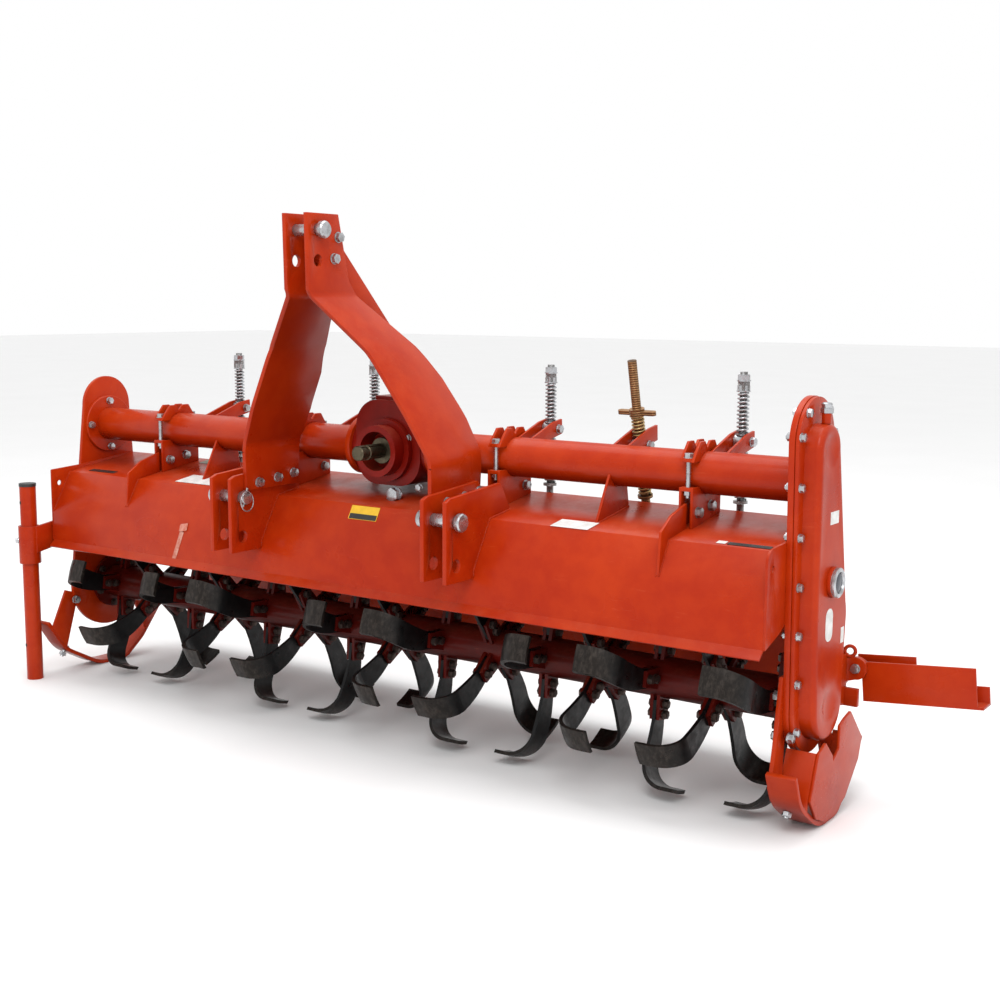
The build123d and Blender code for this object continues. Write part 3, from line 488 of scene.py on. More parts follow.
class Bench:
    """Mesh work: primitives shaped in edit mode, then copied and joined."""

    @staticmethod
    def clear() -> None:
        """Leave edit mode and deselect everything."""
        if bpy.context.object and bpy.context.object.mode != "OBJECT":
            bpy.ops.object.mode_set(mode="OBJECT")
        bpy.ops.object.select_all(action="DESELECT")

    @classmethod
    def choose(cls, *pieces: bpy.types.Object) -> None:
        """Select pieces, the first of them active.

        Args:
            pieces: Pieces to select.
        """
        cls.clear()
        for piece in pieces:
            piece.select_set(True)
        bpy.context.view_layer.objects.active = pieces[0]

    @classmethod
    def pick(cls, piece: bpy.types.Object, wanted: Callable[[Vector, Vector], bool]) -> None:
        """Enter edit mode with only the wanted faces selected.

        Args:
            piece: Piece to edit.
            wanted: Test on a face's centre and normal.
        """
        cls.choose(piece)
        mesh = piece.data
        for items in (mesh.vertices, mesh.edges):
            items.foreach_set("select", [False] * len(items))
        mesh.polygons.foreach_set("select", [wanted(p.center, p.normal) for p in mesh.polygons])
        bpy.ops.object.mode_set(mode="EDIT")
        bpy.ops.mesh.select_mode(type="FACE")

    @classmethod
    def done(cls) -> None:
        """Leave edit mode."""
        bpy.ops.object.mode_set(mode="OBJECT")

    @classmethod
    def round_bar(cls, radius: float, depth: float, sides: int = 24, base: float = 0.0) -> bpy.types.Object:
        """Stand a bar on the Z axis.

        Args:
            radius: Radius in millimetres.
            depth: Height in millimetres.
            sides: Number of flats.
            base: Height of its foot in millimetres.

        Returns:
            The bar.
        """
        cls.clear()
        bpy.ops.mesh.primitive_cylinder_add(
            vertices=sides, radius=radius * MM, depth=depth * MM, location=(0, 0, (base + depth / 2) * MM))
        bar = bpy.context.object
        bpy.ops.object.transform_apply(location=True)
        return bar

    @classmethod
    def turned(cls, profile: Sequence[tuple[float, float]], sides: int = 32) -> bpy.types.Object:
        """Turn a piece about the Z axis.

        Args:
            profile: Radius and height of each step, in millimetres.
            sides: Number of flats.

        Returns:
            The piece.
        """
        cls.clear()
        (radius, height), *steps = profile
        bpy.ops.mesh.primitive_circle_add(
            vertices=sides, radius=radius * MM, location=(0, 0, height * MM), fill_type="NGON")
        piece = bpy.context.object
        bpy.ops.object.transform_apply(location=True)
        bpy.ops.object.mode_set(mode="EDIT")
        bpy.ops.mesh.select_all(action="SELECT")
        for wide, high in steps:
            bpy.ops.mesh.extrude_region_move(TRANSFORM_OT_translate={"value": (0, 0, (high - height) * MM)})
            bpy.ops.transform.resize(value=(wide / radius, wide / radius, 1), center_override=(0, 0, 0))
            radius, height = wide, high
        bpy.ops.mesh.select_all(action="SELECT")
        bpy.ops.mesh.normals_make_consistent(inside=False)
        cls.done()
        return piece

    @classmethod
    def slab(cls, width: float, height: float, thick: float, corner: float = 0.0) -> bpy.types.Object:
        """Lay a slab on the XY plane, centred, with rounded corners if asked.

        Args:
            width: Width along X in millimetres.
            height: Height along Y in millimetres.
            thick: Thickness in millimetres.
            corner: Radius of the corners in millimetres.

        Returns:
            The slab.
        """
        cls.clear()
        bpy.ops.mesh.primitive_plane_add(size=1)
        piece = bpy.context.object
        piece.data.transform(Matrix.Diagonal((width * MM, height * MM, 1, 1)))
        if corner:
            bpy.ops.object.mode_set(mode="EDIT")
            bpy.ops.mesh.select_all(action="SELECT")
            bpy.ops.mesh.bevel(offset=corner * MM, segments=5, affect="VERTICES")
            cls.done()
        cls.apply(piece, "SOLIDIFY", thickness=thick * MM, offset=1.0)
        return piece

    @classmethod
    def hoop(cls, major: float, minor: float) -> bpy.types.Object:
        """Make a ring about the Z axis.

        Args:
            major: Radius of the ring in millimetres.
            minor: Radius of its wire in millimetres.

        Returns:
            The ring.
        """
        cls.clear()
        bpy.ops.mesh.primitive_torus_add(
            major_radius=major * MM, minor_radius=minor * MM, major_segments=32, minor_segments=10)
        return bpy.context.object

    @classmethod
    def bead(cls, start: Vector, end: Vector, size: float = 5.0) -> bpy.types.Object:
        """Lay a rippled weld bead between two points.

        Args:
            start: One end, in metres.
            end: The other end, in metres.
            size: Width of the bead in millimetres.

        Returns:
            The bead.
        """
        cls.clear()
        bpy.ops.mesh.primitive_uv_sphere_add(segments=8, ring_count=5, radius=size / 2 * MM)
        drop = bpy.context.object
        drop.data.transform(Matrix.Diagonal((1, 1, 0.7, 1)))
        way = end - start
        steps = max(2, int(way.length / (size * 0.5 * MM)))
        dice = random.Random(f"{start.x:.4f} {start.y:.4f} {end.z:.4f}")
        places = []
        for step in range(steps + 1):
            swell = dice.uniform(0.85, 1.15)
            spot = cls.stand(start + way * step / steps, way)
            places.append(spot @ Matrix.Diagonal((swell, swell, 1, 1)))
        return cls.spread("bead", drop, places)

    @classmethod
    def apply(cls, piece: bpy.types.Object, kind: str, **settings: object) -> None:
        """Add a modifier, set it and apply it.

        Args:
            piece: Piece to change.
            kind: Type of modifier.
            settings: Its settings.
        """
        cls.choose(piece)
        modifier = piece.modifiers.new(kind.title(), kind)
        for key, value in settings.items():
            setattr(modifier, key, value)
        bpy.ops.object.modifier_apply(modifier=modifier.name)

    @classmethod
    def smooth(cls, piece: bpy.types.Object, degrees: float = 35.0) -> None:
        """Smooth a piece's shading below an angle.

        Args:
            piece: Piece to smooth.
            degrees: The angle between faces.
        """
        cls.choose(piece)
        bpy.ops.object.shade_smooth_by_angle(angle=math.radians(degrees))

    @classmethod
    def merge(cls, name: str, pieces: Sequence[bpy.types.Object]) -> bpy.types.Object:
        """Join pieces in one object.

        Args:
            name: Name of the joined piece.
            pieces: Pieces to join.

        Returns:
            The joined piece.
        """
        cls.choose(*pieces)
        if len(pieces) > 1:
            bpy.ops.object.join()
        joined = bpy.context.object
        joined.name = name
        joined.data.name = name
        return joined

    @classmethod
    def spread(cls, name: str, model: bpy.types.Object, places: Iterable[Matrix]) -> bpy.types.Object:
        """Copy a model to places and join the copies.

        Args:
            name: Name of the joined piece.
            model: What is copied.
            places: A matrix for each copy.

        Returns:
            The joined piece.
        """
        copies = []
        for place in places:
            copy = model.copy()
            copy.data = model.data.copy()
            copy.data.transform(place)
            bpy.context.scene.collection.objects.link(copy)
            copies.append(copy)
        bpy.data.objects.remove(model)
        return cls.merge(name, copies)

    @staticmethod
    def stand(point: Vector, facing: Vector, turn: float = 0.0) -> Matrix:
        """Turn the Z axis to a direction at a point.

        Args:
            point: Point in metres.
            facing: Direction for the Z axis.
            turn: Turn about that direction, in radians.

        Returns:
            The placing matrix.
        """
        rotation = Vector((0, 0, 1)).rotation_difference(facing.normalized()).to_matrix().to_4x4()
        return Matrix.Translation(point) @ rotation @ Matrix.Rotation(turn, 4, "Z")


@dataclass
class Fastener:
    """A hexagon screw: chamfered head on a washer, with a shank and a far nut if it has a grip."""

    across: float = 19.0
    head: float = 8.0
    washer: float = 1.6
    grip: float = 0.0
    tail: float = 5.0
    corner: float = 0.09
    rim: float = 0.62
    shank: float = 0.31

    def hexagon(self, height: float, base: float) -> bpy.types.Object:
        """Make a hexagon with chamfered corners.

        Args:
            height: Height in millimetres.
            base: Height of its foot in millimetres.

        Returns:
            The hexagon.
        """
        block = Bench.round_bar(self.across / math.sqrt(3), height, 6, base)
        Bench.pick(block, lambda c, n: n.z > 0.9)
        bpy.ops.mesh.inset(thickness=self.across * self.corner * MM)
        bpy.ops.transform.translate(value=(0, 0, self.across * self.corner / 2 * MM))
        Bench.done()
        return block

    def model(self) -> bpy.types.Object:
        """Make the screw, its head's seat at the origin and its head along +Z.

        Returns:
            The model.
        """
        parts = []
        ring = Bench.round_bar(self.across * self.rim, self.washer, 20)
        Bench.pick(ring, lambda c, n: n.z > 0.9)
        bpy.ops.mesh.inset(thickness=0.5 * MM)
        bpy.ops.transform.translate(value=(0, 0, 0.3 * MM))
        Bench.done()
        parts += [ring, self.hexagon(self.head, self.washer)]
        if self.grip:
            length = self.grip + self.head + self.tail
            shank = Bench.round_bar(self.across * self.shank, length, 14, -length)
            nut = self.hexagon(self.head, 0.0)
            far = Matrix.Translation((0, 0, -self.grip * MM))
            nut.data.transform(far @ Matrix.Rotation(math.pi, 4, "X"))
            parts += [shank, nut]
        model = Bench.merge("fastener_model", parts)
        Bench.smooth(model, 28)
        return model

    def fit(self, name: str, points: Sequence[Vector], facing: Facing | Vector) -> bpy.types.Object:
        """Fit a row of screws.

        Args:
            name: Name of the piece.
            points: Seats of the heads, in metres.
            facing: Where the heads point.

        Returns:
            The screws as one piece.
        """
        way = Vector(facing.value) if isinstance(facing, Facing) else facing
        dice = random.Random(name)
        places = [Bench.stand(p, way, dice.uniform(0, math.pi / 3)) for p in points]
        return Bench.spread(name, self.model(), places)


class Finishes:
    """All finishes of the machine, each built once."""

    def __init__(self, machine: MachineFrame) -> None:
        """Build the finishes.

        Args:
            machine: The machine's places.
        """
        low, high = machine.span("rotor_shaft")
        axis = machine.at(0, (low.y + high.y) / 2, (low.z + high.z) / 2)
        self.orange = Enamel("orange_enamel", (0.42, 0.030, 0.002), (0.34, 0.017, 0.001)).material()
        # A darker, redder copy of the orange enamel: painted shade for the gearbox and the left bearing, which
        # sit in shade.
        self.red = Enamel("half_shaded_enamel", (0.22, 0.006, 0.002), (0.15, 0.004, 0.001), gloss=0.34).material()
        self.shade = Enamel("shaded_enamel", (0.10, 0.004, 0.002), (0.06, 0.003, 0.001),
                            dust=0.05, gloss=0.4).material()
        self.zinc = Plating("zinc_plate", (0.50, 0.51, 0.53), (0.20, 0.19, 0.18), rough=0.24).material()
        self.thread = Plating("zinc_thread", (0.50, 0.50, 0.50), (0.22, 0.20, 0.18),
                              rough=0.26, thread=2.2).material()
        self.bronze = Plating("bronze_thread", (0.36, 0.20, 0.09), (0.20, 0.11, 0.055),
                              rough=0.42, thread=5.0, lean=-0.2325).material()
        self.brass = Plating("brass_spring", (0.46, 0.33, 0.15), (0.26, 0.17, 0.07), rough=0.36).material()
        self.dull = Plating("dull_bolt", (0.10, 0.075, 0.065), (0.045, 0.025, 0.02), rough=0.45).material()
        self.oiled = Plating("oiled_steel", (0.12, 0.10, 0.065), (0.05, 0.042, 0.03), rough=0.36).material()
        self.tine = DippedSteel("dipped_tines", axis.y, axis.z, start=0.185, end=0.250).material()
        self.cap = Moulding("black_cap", (0.012, 0.012, 0.012), (0.03, 0.03, 0.03)).material()
        self.white = Moulding("white_sticker", (0.74, 0.74, 0.72), (0.58, 0.58, 0.56), 0.4).material()
        self.yellow = Moulding("yellow_sticker", (0.82, 0.50, 0.02), (0.70, 0.42, 0.02), 0.4).material()
        self.black = Moulding("black_sticker", (0.012, 0.012, 0.012), (0.025, 0.025, 0.022), 0.35).material()
        # Near-black for the stand's pin holes: painted shade inside the holes.
        self.hole_shade = Moulding("painted_hole_shade", (0.02, 0.014, 0.010), (0.04, 0.022, 0.014), 0.7).material()
        self.glass = Moulding("dark_glass", (0.012, 0.016, 0.03), (0.02, 0.026, 0.04), 0.12).material()
        self.olive = Moulding("olive_sticker", (0.10, 0.085, 0.03), (0.14, 0.12, 0.05), 0.4).material()
        self.film = Moulding("clear_film", (0.44, 0.10, 0.055), (0.58, 0.28, 0.21), 0.12).material()


@dataclass
class Machine:
    """What every sub-assembly needs to dress solids and fit pieces."""

    places: MachineFrame
    finishes: Finishes

    def dress(self, finish: bpy.types.Material, *nodes: str, edge: float = 0.8) -> None:
        """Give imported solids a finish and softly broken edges.

        Args:
            finish: The finish.
            nodes: Names of the solids.
            edge: Width of the broken edges in millimetres, or 0.
        """
        for name in nodes:
            solid = frame["nodes"][name]
            solid.data.materials.clear()
            solid.data.materials.append(finish)
            solid.modifiers.clear()
            if edge:
                weld = solid.modifiers.new("Weld", "WELD")
                weld.merge_threshold = 0.00002
                bevel = solid.modifiers.new("Bevel", "BEVEL")
                bevel.width = edge * MM
                bevel.segments = 2
                bevel.limit_method = "ANGLE"
                bevel.angle_limit = math.radians(32)
                bevel.use_clamp_overlap = True
            Bench.choose(solid)
            solid.data.polygons.foreach_set("use_smooth", [True] * len(solid.data.polygons))

    def fit(self, piece: bpy.types.Object, finish: bpy.types.Material, slot: str, body: str = "frame",
            stands_for: Sequence[str] = ()) -> bpy.types.Object:
        """Finish a new piece and let it ride on a body.

        Args:
            piece: The piece.
            finish: Its finish.
            slot: The record's material slot, or nothing for a sticker; not used.
            body: The body it rides on.
            stands_for: Solids that it replaces.

        Returns:
            The piece.
        """
        piece.data.materials.clear()
        piece.data.materials.append(finish)
        if stands_for:
            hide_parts(*stands_for)
        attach(piece, body)
        log.info("%-28s %6d faces on %s", piece.name, len(piece.data.polygons), body)
        return piece

    def screw(self, name: str, fastener: Fastener, seats: Sequence[Vector], facing: Facing | Vector,
              finish: bpy.types.Material | None = None, body: str = "frame") -> None:
        """Fit a row of screws in one finish.

        Args:
            name: Name of the piece.
            fastener: The kind of screw.
            seats: Seats of the heads, in metres.
            facing: Where the heads point.
            finish: Their finish, or zinc.
            body: The body they ride on.
        """
        self.fit(fastener.fit(name, seats, facing), finish or self.finishes.zinc, "zinc_plate", body)

    def place(self, name: str, piece: bpy.types.Object, where: Matrix, finish: bpy.types.Material,
              slot: str, round_off: float = 30.0) -> None:
        """Place a single piece, soften it and fit it on the frame.

        Args:
            name: Name of the piece.
            piece: The piece.
            where: Its place.
            finish: Its finish.
            slot: The record's material slot.
            round_off: Angle under which edges look smooth, in degrees, or 0 for none.
        """
        piece.data.transform(where)
        piece.name = name
        if round_off:
            Bench.smooth(piece, round_off)
        self.fit(piece, finish, slot)


@dataclass
class Studio:
    """Pale floor, soft lights and the camera."""

    centre: Vector
    sensor: float = 36.0
    lens: float = 50.70744
    azimuth: float = 34.79
    elevation: float = 8.15
    roll: float = 0.32
    stand: Place = (2095.0, -2614.0, 1057.5)

    def camera(self, places: MachineFrame) -> None:
        """Set the camera.

        Args:
            places: The machine's places.
        """
        a, e, r = (math.radians(v) for v in (self.azimuth, self.elevation, self.roll))
        back = Vector((math.sin(a) * math.cos(e), -math.cos(a) * math.cos(e), math.sin(e)))
        right = Vector((math.cos(a), math.sin(a), 0.0))
        up = back.cross(right)
        side = right * math.cos(r) + up * math.sin(r)
        top = up * math.cos(r) - right * math.sin(r)
        data = bpy.data.cameras.new("camera")
        data.sensor_width = self.sensor
        data.lens = self.lens
        data.clip_end = 60
        camera = bpy.data.objects.new("camera", data)
        turn = Matrix((side, top, back)).transposed().to_4x4()
        camera.matrix_world = Matrix.Translation(places.at(*self.stand)) @ turn
        bpy.context.scene.collection.objects.link(camera)
        bpy.context.scene.camera = camera

    def lights(self) -> None:
        """Hang the soft lights and set the surroundings."""
        hung = (("key", (2.0, -3.0, 3.9), 2.2, 88.0), ("fill", (-3.6, -2.8, 2.4), 3.0, 3.0),
                ("top", (0.0, 0.4, 4.4), 3.0, 90.0), ("side", (4.2, -1.0, 2.6), 2.2, 8.0))
        for name, place, size, power in hung:
            data = bpy.data.lights.new(name, "AREA")
            data.shape = "SQUARE"
            data.size = size
            data.energy = power
            lamp = bpy.data.objects.new(name, data)
            lamp.location = self.centre + Vector(place)
            way = self.centre + Vector((0, 0, 0.5)) - lamp.location
            lamp.rotation_euler = way.to_track_quat("-Z", "Y").to_euler()
            bpy.context.scene.collection.objects.link(lamp)
        world = bpy.data.worlds.new("surroundings")
        world.use_nodes = True
        world.node_tree.nodes["Background"].inputs["Color"].default_value = (1.0, 1.0, 1.0, 1.0)
        world.node_tree.nodes["Background"].inputs["Strength"].default_value = 1.0
        bpy.context.scene.world = world
        bpy.context.scene.view_settings.view_transform = "Standard"

    def floor(self) -> None:
        """Lay the pale floor."""
        Bench.clear()
        bpy.ops.mesh.primitive_plane_add(size=60, location=(0, 0, 0))
        floor = bpy.context.object
        floor.name = "floor"
        g = Graph("pale_floor")
        g.feed(g.blend(g.noise(1.5, 3.0), (0.88, 0.88, 0.88), (0.92, 0.92, 0.92)), "Base Color")
        g.set(Roughness=0.8, Specular_IOR_Level=0.2)
        floor.data.materials.append(g.material)


@dataclass
class SpringSet(Machine):
    """Coil springs, nuts and pins of the spring rods and the lift rod."""

    wire: float = 4.6
    sides: int = 8
    steps: int = 20
    rod_turns: tuple[int, int] = (10, 13)
    lift_turns: tuple[int, int] = (6, 12)
    lift_seat: float = 16.4
    rod_gap: float = 60.0
    nut_rises: tuple[float, float] = (22.3, 0.2)
    washer_drop: float = 2.2
    ear_reach: float = 21.2

    def coil(self, radius: float, height: float, turns: int) -> bpy.types.Object:
        """Wind a spring up the Z axis.

        Args:
            radius: Radius of the coil's middle line in millimetres.
            height: Height in millimetres.
            turns: Number of turns.

        Returns:
            The spring.
        """
        Bench.clear()
        bpy.ops.mesh.primitive_circle_add(
            vertices=self.sides, radius=self.wire / 2 * MM, location=(radius * MM, 0, self.wire / 2 * MM),
            rotation=(math.pi / 2, 0, 0), fill_type="NGON")
        ring = bpy.context.object
        bpy.ops.object.transform_apply(location=True, rotation=True)
        Bench.apply(ring, "SCREW", axis="Z", angle=2 * math.pi, iterations=turns, steps=self.steps,
                    render_steps=self.steps, screw_offset=(height - self.wire) / turns * MM,
                    use_merge_vertices=False)
        Bench.pick(ring, lambda c, n: True)
        bpy.ops.mesh.normals_make_consistent(inside=False)
        Bench.done()
        Bench.smooth(ring, 60)
        return ring

    def build(self) -> None:
        """Wind the springs, and fit the nuts and pins."""
        joints = {joint["name"]: joint for joint in frame["record"]["behaviour"]["joints"]}
        stations = self.stations()
        for node, turns in zip(("upper_springs", "lower_springs"), self.rod_turns):
            low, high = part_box(node)
            radius = (high.y - low.y) / 2 / MM - self.wire / 2
            places = [Matrix.Translation((x, (low.y + high.y) / 2, low.z)) for x in stations]
            piece = Bench.spread(f"{node}_coils", self.coil(radius, (high.z - low.z) / MM, turns), places)
            self.stretch(piece, node, "zinc_plate", self.finishes.zinc)
            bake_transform(piece)
        self.lift_springs(joints)
        self.nuts(stations)

    def lift_springs(self, joints: dict[str, dict]) -> None:
        """Wind the two springs of the leaning lift rod.

        Args:
            joints: The record's joints by name.
        """
        pivot = Vector(joints["lift_swivel_turn"]["pos_m"])
        way = Vector(joints["lift_rod_slide"]["axis"]).normalized()
        low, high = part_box("lift_rod_springs")
        radius = (high.x - low.x) / 2 / MM - self.wire / 2
        edge = radius * MM * abs(way.y / way.z)
        bottom, top = ((z - pivot.z) / way.z for z in (low.z + edge, high.z - edge))
        seat = self.lift_seat * MM
        spans = (("upper", seat, top), ("lower", bottom, -seat))
        for (name, start, end), turns in zip(spans, self.lift_turns):
            coil = self.coil(radius, abs(end - start) / MM, turns)
            piece = Bench.spread(f"lift_rod_spring_{name}", coil, [Bench.stand(pivot + way * start, way)])
            self.stretch(piece, "lift_rod_springs", "bronze_plate", self.finishes.brass)
            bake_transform(piece)

    def stretch(self, piece: bpy.types.Object, node: str, slot: str, finish: bpy.types.Material) -> None:
        """Finish a spring and hide the solid it stands for.

        Args:
            piece: The spring.
            node: The solid it stands for.
            slot: The record's material slot; not used.
            finish: Its finish.
        """
        piece.data.materials.clear()
        piece.data.materials.append(finish)
        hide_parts(node)
        log.info("%-28s %6d faces", piece.name, len(piece.data.polygons))

    def stations(self) -> list[float]:
        """Find the middles of the rods.

        Returns:
            The middles along X, in metres.
        """
        xs = sorted({round(v.co.x, 4) for v in frame["nodes"]["rod_swivels"].data.vertices})
        groups: list[list[float]] = []
        for x in xs:
            if groups and x - groups[-1][-1] < self.rod_gap * MM:
                groups[-1].append(x)
            else:
                groups.append([x])
        return [(group[0] + group[-1]) / 2 for group in groups]

    def nuts(self, stations: Sequence[float]) -> None:
        """Fit lock nuts and washers on the rods, and pivot bolts through the ears.

        Args:
            stations: Middles of the rods along X, in metres.
        """
        low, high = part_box("upper_springs")
        y = (low.y + high.y) / 2
        seats = [Vector((x, y, high.z + rise * MM)) for x in stations for rise in self.nut_rises]
        self.screw("rod_lock_nuts", Fastener(24.0, 11.0, 2.4), seats, Facing.UP, body="rods")
        seats = [Vector((x, y, low.z - self.washer_drop * MM)) for x in stations]
        self.screw("rod_seat_washers", Fastener(22.0, 0.6, 1.8), seats, Facing.UP)
        bolt = Fastener(17.0, 8.0)
        ear_low, ear_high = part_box("rod_swivels")
        ears = [Vector((x, y, (ear_low.z + ear_high.z) / 2)) for x in stations]
        swivel_low, swivel_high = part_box("lift_rod_swivel")
        swivel = [(swivel_low + swivel_high) / 2]
        for row, middles in (("rod_pivot_bolts", ears), ("lift_pivot_bolt", swivel)):
            for name, side, facing in SIDES:
                reach = Vector((side * self.ear_reach * MM, 0, 0))
                self.screw(f"{row}_{name}", bolt, [middle + reach for middle in middles], facing)


@dataclass
class SideDrive(Machine):
    """Side gear drive: flange bolts, level glass, breather and blank labels."""

    face_x: float = 1083.0
    flange_x: float = 1049.2
    inner_x: float = 1029.0
    top: Place = (-33.0, 785.0, 78.0)
    low: Place = (-5.0, 258.0, 88.0)
    pitch: float = 97.0
    first_z: float = 800.0
    rows: int = 7
    top_bolts: tuple[float, float] = (50.0, 130.0)
    glass_spot: Place = (-14.0, 510.0, 31.0)
    breather_x: float = 1069.0
    breather_y: float = -40.0
    breather_drop: float = 20.0

    def band(self, z: float, side: int) -> float:
        """Find the middle of the flange beside the cover.

        Args:
            z: Height in millimetres.
            side: -1 in front, 1 behind.

        Returns:
            Distance behind the main tube in millimetres.
        """
        (top_y, top_z, top_r), (low_y, low_z, low_r) = self.top, self.low
        share = (top_z - z) / (top_z - low_z)
        return top_y + (low_y - top_y) * share + side * (top_r + (low_r - top_r) * share)

    def build(self) -> None:
        """Fit the flange bolts, the level glass, the breather and the labels."""
        heights = [self.first_z - self.pitch * i for i in range(self.rows)]
        spots = [(self.flange_x, self.band(z, side), z) for side in (-1, 1) for z in heights]
        seats = self.places.row(*spots)
        y, z, radius = self.top
        seats += self.places.ring((self.flange_x, y, z), radius, self.top_bolts)
        bolt = Fastener(15.0, 7.0, grip=self.flange_x - self.inner_x, tail=3.0)
        self.screw("side_drive_bolts", bolt, seats, Facing.RIGHT)
        self.glass()
        self.breather()
        self.labels()

    def glass(self) -> None:
        """Fit the level glass on its boss."""
        y, z, r = self.glass_spot
        boss = self.places.span("side_drive_plugs")[1].x
        where = Bench.stand(self.places.at(boss, y, z), Vector(Facing.RIGHT.value))
        ring = Bench.turned(((r - 2, 0), (r - 2, 1.5), (r - 1, 3), (r - 1, 7), (r - 3, 8.5), (r - 9, 8.5),
                             (r - 11, 4)))
        self.place("level_glass_ring", ring, where, self.finishes.zinc, "zinc_plate")
        glass = Bench.turned(((r - 11.2, 4.1), (r - 11.2, 5.6), (r - 14, 6.6), (3, 7.2)))
        self.place("level_glass", glass, where, self.finishes.glass, "black_plastic", 40)

    def breather(self) -> None:
        """Fit the breather's hexagon and cap on its riser."""
        riser = self.places.span("side_drive_plugs")[1].z
        stem = Bench.turned(((9.4, 0), (9.4, 1), (9.6, 13), (10.6, 15), (10.6, 18), (9, 20), (4, 21)), 28)
        cap = Bench.merge("breather_cap", [stem, Fastener(21.0).hexagon(9.0, 0.5)])
        foot = self.places.at(self.breather_x, self.breather_y, riser - self.breather_drop)
        self.place("breather_cap", cap, Matrix.Translation(foot), self.finishes.zinc, "zinc_plate")

    def labels(self) -> None:
        """Stick the blank labels on the cover."""
        for name, y, z, wide, high, corner in (("upper", -14.0, 638.0, 42.0, 25.0, 0.0),
                                               ("round", -22.0, 425.0, 36.0, 66.0, 17.0),
                                               ("lower", 50.0, 392.0, 16.0, 32.0, 0.0)):
            where = Bench.stand(self.places.at(self.face_x + 0.1, y, z), Vector(Facing.RIGHT.value))
            label = Bench.slab(high, wide, 0.5, corner)
            self.place(f"side_drive_label_{name}", label, where, self.finishes.white, "", 0)


@dataclass
class TubeMounts(Machine):
    """Clamp bolts of the saddles, and the left tube flange with its bolts."""

    clamp_y: float = 56.0
    lug_top: float = 738.0
    lug_low: float = 670.0
    stations: tuple[float, ...] = (-785.0, -306.5, 306.5, 785.0)
    web: float = 16.0
    outer_spots: tuple[tuple[float, float], ...] = ((-44.0, 626.0), (14.0, 634.0))
    inner_spot: tuple[float, float] = (38.0, 636.0)
    flange_r: float = 64.0
    flange_t: float = 8.5
    quarters: tuple[float, ...] = (0.0, 90.0, 180.0, 270.0)

    def build(self) -> None:
        """Fit the bolts and the flange."""
        clamp = Fastener(17.0, 8.0, grip=self.lug_top - self.lug_low, tail=6.0)
        seats = self.places.row(*((x, side * self.clamp_y, self.lug_top) for x in self.stations
                                  for side in (-1, 1)))
        self.screw("saddle_clamp_bolts", clamp, seats, Facing.UP)
        first, second, third, last = (x + self.web for x in self.stations)
        spots = [(x, y, z) for x in (first, last) for y, z in self.outer_spots]
        spots += [(x, *self.inner_spot) for x in (second, third)]
        self.screw("saddle_side_bolts", Fastener(19.0, 9.0), self.places.row(*spots), Facing.RIGHT)
        low, high = self.places.span("side_plate_left")
        tube_z = self.places.tube_z
        flange = Bench.turned(((78, 0), (78, 7), (76.5, self.flange_t), (46, self.flange_t)), 48)
        where = Bench.stand(self.places.at(high.x, 0, tube_z), Vector(Facing.RIGHT.value))
        self.place("left_tube_flange", flange, where, self.finishes.orange, "orange_paint")
        for name, x, facing in (("left_flange_bolts", high.x + self.flange_t, Facing.RIGHT),
                                ("left_flange_nuts", low.x, Facing.LEFT)):
            seats = self.places.ring((x, 0, tube_z), self.flange_r, self.quarters)
            self.screw(name, Fastener(16.0, 8.0), seats, facing)


@dataclass
class Hitch(Machine):
    """Bolts of the mast and the ends of the hitch pins."""

    mast_face: float = 36.0
    mast_spots: tuple[tuple[float, float], ...] = ((-271.0, 1186.0), (-285.0, 1140.0))
    arm_face: float = 269.5
    arm_t: float = 20.0
    foot_spots: tuple[tuple[float, float], ...] = ((-216.0, 622.0), (-153.0, 628.0), (-98.0, 634.0))
    heads: tuple[tuple[str, float], ...] = (
        ("lower_hitch_pin_left", 17.0), ("lower_hitch_pin_right", 20.0), ("top_link_pin", 18.0))
    ring_r: float = 23.0
    ring_wire: float = 1.6
    peg_r: float = 3.2
    peg_len: float = 46.0

    def build(self) -> None:
        """Fit the bolts and pin ends."""
        head = Fastener(19.0, 9.0)
        for name, side, facing in SIDES:
            seats = self.places.row(*((side * self.mast_face, y, z) for y, z in self.mast_spots))
            self.screw(f"mast_bolts_{name}", head, seats, facing)
        for name, side, away in reversed(SIDES):
            inward = Facing.RIGHT if side < 0 else Facing.LEFT
            outer = self.arm_face + self.arm_t
            for kind, x, facing in (("bolts", self.arm_face, inward), ("nuts", outer, away)):
                seats = self.places.row(*((side * x, y, z) for y, z in self.foot_spots))
                self.screw(f"mast_foot_{kind}_{name}", head, seats, facing)
        self.domes()
        self.linch()

    def domes(self) -> None:
        """Finish the pins' ends with domed heads."""
        domes = []
        for node, r in self.heads:
            low, high = self.places.span(node)
            mid = (low + high) / 2
            for x, facing in ((high.x, Facing.RIGHT), (low.x, Facing.LEFT)):
                dome = Bench.turned(((r, -7), (r, 1.5), (r - 2.5, 4.5), (r - 8, 6), (2, 6.4)), 28)
                dome.data.transform(Bench.stand(self.places.at(x, mid.y, mid.z), Vector(facing.value)))
                domes.append(dome)
        heads = Bench.merge("pin_heads", domes)
        Bench.smooth(heads, 35)
        self.fit(heads, self.finishes.zinc, "zinc_plate")

    def linch(self) -> None:
        """Hang the linch pin's ring and peg at the left pin's inner end."""
        low, high = self.places.span("lower_hitch_pin_left")
        mid = (low + high) / 2
        ring = Bench.hoop(self.ring_r, self.ring_wire)
        ring.data.transform(Bench.stand(self.places.at(high.x + 3.0, mid.y, mid.z - 9.0),
                                        Vector((1, 0.12, 0.06))))
        peg = Bench.round_bar(self.peg_r, self.peg_len, 14, -self.peg_len / 2)
        peg.data.transform(Bench.stand(self.places.at(high.x - 4.0, mid.y, mid.z), Vector((0, 0.35, 1))))
        linch = Bench.merge("linch_pin", [ring, peg])
        Bench.smooth(linch, 50)
        self.fit(linch, self.finishes.zinc, "zinc_plate")


